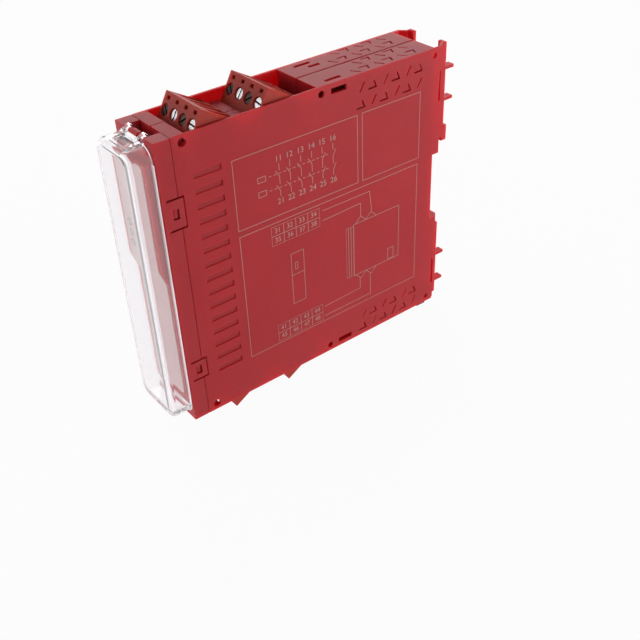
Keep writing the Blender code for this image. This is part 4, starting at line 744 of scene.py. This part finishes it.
# %% Dress the boards and the parts on them
for node, name, finish, radius in (
        ("main_board", "main_circuit_board", FR4, 0.1), ("indicator_board", "lamp_circuit_board", FR4, 0.1),
        ("relay_1", "relay_case_front", RELAY_IVORY, 0.5), ("relay_2", "relay_case_rear", RELAY_IVORY, 0.5),
        ("supply_transformer", "taped_transformer", COIL_TAPE, 0.8),
        ("capacitor_1", "sleeved_capacitor_front", SLEEVE, 0.6),
        ("capacitor_2", "sleeved_capacitor_rear", SLEEVE, 0.6), ("varistor", "dipped_varistor", VARISTOR_BLUE, 0.9),
        ("led_upper", "lamp_upper", LENS_EPOXY, 0.2), ("led_middle", "lamp_middle", LENS_EPOXY, 0.2),
        ("led_lower", "lamp_lower", LENS_EPOXY, 0.2),
        ("light_pipe_upper", "pipe_upper", PIPE_ACRYLIC, 0.3),
        ("light_pipe_middle", "pipe_middle", PIPE_ACRYLIC, 0.3),
        ("light_pipe_lower", "pipe_lower", PIPE_ACRYLIC, 0.3)):
    piece = merged_copy(node, name)
    round_edges(piece, radius, room_share=0.0)
    stands_for(piece, finish, "housing", node)

cages = [NODES[node] for node in NODES if node.startswith("cage_")]
for cage in cages:
    cage.material_slots[0].material = CAGE_ZINC
print(len(cages), "box clamps keep their CAD shape and get", CAGE_ZINC.name)

# %% [markdown]
# ## The print on the side
#
# A contact plan and a wiring sketch are pad-printed on the near side in pale ink. Ink could be a colour in the
# shell's material, but a line 0.2 mm wide stays crisper as a shape of its own. A line is a thin plane that is
# stretched and turned in edit mode, a frame or table is a grid whose faces are inset and emptied, and a number
# is text made into a mesh. All of it is joined and given the thickness of a layer of ink.

# %% How a line and a frame of ink are made
INK_WIDTH = 0.2 * MM
PRINT_CORNER = Vector((11.25, -114.5, -51.0)) * MM
FACING_RIGHT = (math.radians(90.0), 0.0, math.radians(90.0))


def on_side(along_mm, up_mm):
    """A place on the near side, in millimetres from the bezel's front and the bottom of the case."""
    return PRINT_CORNER + Vector((0.0, along_mm, up_mm)) * MM


def ink_line(*points):
    """A printed line through the points, with one thin plane for each stretch."""
    for start, end in zip(points, points[1:]):
        middle = (on_side(*start) + on_side(*end)) / 2
        run = on_side(*end) - on_side(*start)
        bpy.ops.mesh.select_all(action="DESELECT")
        bpy.ops.mesh.primitive_plane_add(size=INK_WIDTH, location=middle, rotation=FACING_RIGHT)
        bpy.ops.transform.resize(value=(1.0, run.length / INK_WIDTH + 1.0, 1.0), center_override=middle)
        bpy.ops.transform.rotate(value=-math.atan2(run.z, run.y), orient_axis="X", center_override=middle)


def ink_grid(low, high, columns=1, rows=1):
    """A printed frame or table: a grid whose faces are inset by the line and then taken out."""
    middle = (on_side(*low) + on_side(*high)) / 2
    bpy.ops.mesh.select_all(action="DESELECT")
    bpy.ops.mesh.primitive_grid_add(
        x_subdivisions=columns, y_subdivisions=rows, size=MM, location=middle, rotation=FACING_RIGHT)
    bpy.ops.transform.resize(value=(1.0, high[0] - low[0], high[1] - low[1]), center_override=middle)
    bpy.ops.mesh.inset(thickness=INK_WIDTH * (1.0 if columns * rows == 1 else 0.5), use_individual=True)
    bpy.ops.mesh.delete(type="FACE")


print("ink lines are", round(INK_WIDTH / MM, 2), "mm wide")

# %% Print the frames and the contact plan
CONTACT_COLUMNS = (42.1, 46.3, 50.7, 55.1, 59.4, 63.9)
CONTACT_LEVELS = (80.5, 75.5)
CONTACT_TOP = 83.8
CONTACT_FOOT = 72.4
CONTACT_GAP = 1.1
OPEN_COLUMNS = 4
OPEN_LEAN = -1.4
CLOSED_LEAN = 1.2
COIL_ENDS = (33.6, 36.8)
COIL_RISE = 1.0
DASH_COUNT = 13
DASH_START = 38.0
DASH_PITCH = 1.9
DASH_LENGTH = 0.9

bpy.ops.object.select_all(action="DESELECT")
bpy.ops.mesh.primitive_plane_add(size=MM)
side_print = bpy.context.object
side_print.name = "side_print"
bpy.ops.object.mode_set(mode="EDIT")
bpy.ops.mesh.delete(type="VERT")

for low, high in (((24.9, 65.6), (74.5, 90.4)), ((76.4, 65.6), (102.7, 90.5)), ((25.0, 14.8), (102.2, 63.5))):
    ink_grid(low, high)
for column, along in enumerate(CONTACT_COLUMNS):
    lean = OPEN_LEAN if column < OPEN_COLUMNS else CLOSED_LEAN
    top = CONTACT_TOP
    for level in CONTACT_LEVELS:
        ink_line((along, top), (along, level + CONTACT_GAP))
        ink_line((along + lean, level + COIL_RISE), (along, level - CONTACT_GAP))
        top = level - CONTACT_GAP
    ink_line((along, top), (along, CONTACT_FOOT))
for level in CONTACT_LEVELS:
    ink_grid((COIL_ENDS[0], level - COIL_RISE), (COIL_ENDS[1], level + COIL_RISE))
    for dash in range(DASH_COUNT):
        start = DASH_START + DASH_PITCH * dash
        ink_line((start, level), (start + DASH_LENGTH, level))
print(len(CONTACT_COLUMNS), "columns of contacts on", len(CONTACT_LEVELS), "levels")

# %% Print the wiring sketch
TABLE_COLUMNS = 4

ink_grid((37.3, 55.05), (57.3, 62.2), columns=TABLE_COLUMNS, rows=2)
ink_grid((37.1, 15.7), (57.1, 22.7), columns=TABLE_COLUMNS, rows=2)
ink_line((58.7, 60.6), (79.6, 60.5), (80.5, 52.4))
ink_line((58.6, 56.8), (75.4, 57.3), (75.4, 52.4))
ink_line((58.1, 21.2), (74.9, 21.8), (74.8, 26.0))
ink_line((58.0, 17.1), (79.9, 17.2), (79.7, 26.0))

ink_grid((44.4, 28.6), (49.9, 49.2))
ink_line((44.4, 40.5), (49.9, 40.5))
ink_grid((46.0, 42.4), (47.2, 45.2))
ink_grid((68.6, 28.6), (72.0, 49.4), columns=3)
ink_grid((72.0, 28.3), (93.6, 49.9))
ink_line((73.0, 49.9), (75.4, 52.2), (77.8, 49.9), (80.2, 52.2), (82.6, 49.9))
ink_line((73.0, 28.3), (75.4, 26.0), (77.8, 28.3), (80.2, 26.0), (82.6, 28.3))
ink_grid((88.2, 28.7), (91.1, 33.4))
bpy.ops.object.mode_set(mode="OBJECT")
print(side_print.name, len(side_print.data.polygons), "flat faces of line")

# %% How a number and a layer of ink are made
INK_LAYER = 0.02 * MM
SIZE_PER_DIGIT_HEIGHT = 1.45


def ink_number(number, place, turn, height):
    """A printed number, centred on its place, as a mesh."""
    bpy.ops.object.select_all(action="DESELECT")
    bpy.ops.object.text_add(location=place, rotation=turn)
    text = bpy.context.object
    text.data.body = str(number)
    text.data.size = height * SIZE_PER_DIGIT_HEIGHT
    text.data.align_x = "CENTER"
    text.data.align_y = "CENTER"
    text.data.resolution_u = 3
    bpy.ops.object.convert(target="MESH")
    bpy.ops.object.transform_apply(location=True, rotation=True, scale=True)
    return bpy.context.object


def ink_layer(piece, numbers):
    """Joins the numbers to a print and gives it all the thickness of its ink."""
    only(piece)
    for number in numbers:
        number.select_set(True)
    bpy.ops.object.join()
    layer = piece.modifiers.new("ink", "SOLIDIFY")
    layer.thickness = INK_LAYER
    layer.offset = 0.0
    bpy.ops.object.modifier_apply(modifier=layer.name)
    print(piece.name, len(piece.data.polygons), "faces")


print("the ink is", round(INK_LAYER / MM, 3), "mm thick")

# %% Print the numbers
NUMBERS_ABOVE = 85.6
NUMBERS_BELOW = 70.6
CELL_MM = 5.0
PLAN_DIGITS = 2.0 * MM
TABLE_DIGITS = 1.8 * MM

numbers = []
for column, along in enumerate(CONTACT_COLUMNS):
    numbers.append(ink_number(11 + column, on_side(along, NUMBERS_ABOVE), FACING_RIGHT, PLAN_DIGITS))
    numbers.append(ink_number(21 + column, on_side(along, NUMBERS_BELOW), FACING_RIGHT, PLAN_DIGITS))
for first, left, rows in ((31, 37.3, (60.4, 56.85)), (41, 37.1, (20.95, 17.45))):
    for row, up in enumerate(rows):
        for column in range(TABLE_COLUMNS):
            place = on_side(left + CELL_MM * (column + 0.5), up)
            count = first + TABLE_COLUMNS * row + column
            numbers.append(ink_number(count, place, FACING_RIGHT, TABLE_DIGITS))
ink_layer(side_print, numbers)
side_print.data.materials.clear()
side_print.data.materials.append(PALE_INK)
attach(side_print, "housing")

# %% [markdown]
# ## The label on the panel
#
# Behind the clear cover a pale polyester label covers the panel and numbers the three lamps. The panel has a
# step, and the label follows it: a plane gets rounded corners, is cut across at both ends of the step, and its
# upper part is moved forward. Solidify gives the sheet its thickness, three holes let the light pipes through,
# and the numbers are printed as on the side.

# %% Stick the label on the panel
FACING_FRONT = (math.radians(90.0), 0.0, 0.0)
LABEL_HALF_WIDTH = 7.4 * MM
LABEL_FOOT = -40.6 * MM
LABEL_HEAD = 45.4 * MM
LABEL_CORNER = 1.2 * MM
LABEL_SHEET = 0.12 * MM
PANEL_LOW_FACE = -115.5 * MM
PANEL_HIGH_FACE = -117.5 * MM
PANEL_STEP = (4.0 * MM, 10.0 * MM)

bpy.ops.object.select_all(action="DESELECT")
bpy.ops.mesh.primitive_plane_add(
    size=1.0, location=(0.0, PANEL_LOW_FACE, (LABEL_FOOT + LABEL_HEAD) / 2), rotation=FACING_FRONT)
label = bpy.context.object
label.name = "panel_label"
label.scale = (2 * LABEL_HALF_WIDTH, LABEL_HEAD - LABEL_FOOT, 1.0)
bpy.ops.object.transform_apply(location=True, rotation=True, scale=True)
bpy.ops.object.mode_set(mode="EDIT")
bpy.ops.mesh.bevel(offset=LABEL_CORNER, segments=5, affect="VERTICES")
for height in PANEL_STEP:
    bpy.ops.mesh.select_all(action="SELECT")
    bpy.ops.mesh.bisect(plane_co=(0.0, 0.0, height), plane_no=(0.0, 0.0, 1.0))
bpy.ops.mesh.select_all(action="DESELECT")
bpy.ops.mesh.select_mode(type="VERT")
bpy.ops.object.mode_set(mode="OBJECT")
for vertex in label.data.vertices:
    vertex.select = vertex.co.z > PANEL_STEP[1] - CLOSE
bpy.ops.object.mode_set(mode="EDIT")
bpy.ops.transform.translate(value=(0.0, PANEL_HIGH_FACE - PANEL_LOW_FACE, 0.0))
bpy.ops.object.mode_set(mode="OBJECT")
sheet = label.modifiers.new("sheet", "SOLIDIFY")
sheet.thickness = LABEL_SHEET
sheet.offset = 1.0
bpy.ops.object.modifier_apply(modifier=sheet.name)
print(label.name, len(label.data.polygons), "faces before its holes")

# %% Punch the holes for the light pipes
PIPE_X = -4.5 * MM
PIPE_HEIGHTS = (15.5 * MM, 19.2 * MM, 22.9 * MM)
PIPE_HOLE = 1.35 * MM

bpy.ops.object.select_all(action="DESELECT")
bpy.ops.mesh.primitive_cylinder_add(
    vertices=32, radius=PIPE_HOLE, depth=2 * MM, location=(PIPE_X, PANEL_HIGH_FACE, PIPE_HEIGHTS[0]),
    rotation=FACING_FRONT)
punch = bpy.context.object
bpy.ops.object.transform_apply(location=True, rotation=True, scale=True)
cut_row(label, punch, len(PIPE_HEIGHTS), PIPE_HEIGHTS[1] - PIPE_HEIGHTS[0])
label.data.materials.append(LABEL_ROSE)
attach(label, "housing")
print(label.name, len(label.data.polygons), "faces")

# %% Number the lamps
BESIDE_PIPE = 3.2 * MM
LAMP_DIGITS = 2.2 * MM

lamp_numbers = []
for count, height in enumerate(reversed(PIPE_HEIGHTS), start=1):
    place = Vector((PIPE_X + BESIDE_PIPE, PANEL_HIGH_FACE - LABEL_SHEET, height))
    lamp_numbers.append(ink_number(count, place, FACING_FRONT, LAMP_DIGITS))
lamp_print = lamp_numbers.pop()
lamp_print.name = "label_numbers"
ink_layer(lamp_print, lamp_numbers)
lamp_print.data.materials.clear()
lamp_print.data.materials.append(GREY_INK)
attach(lamp_print, "housing")
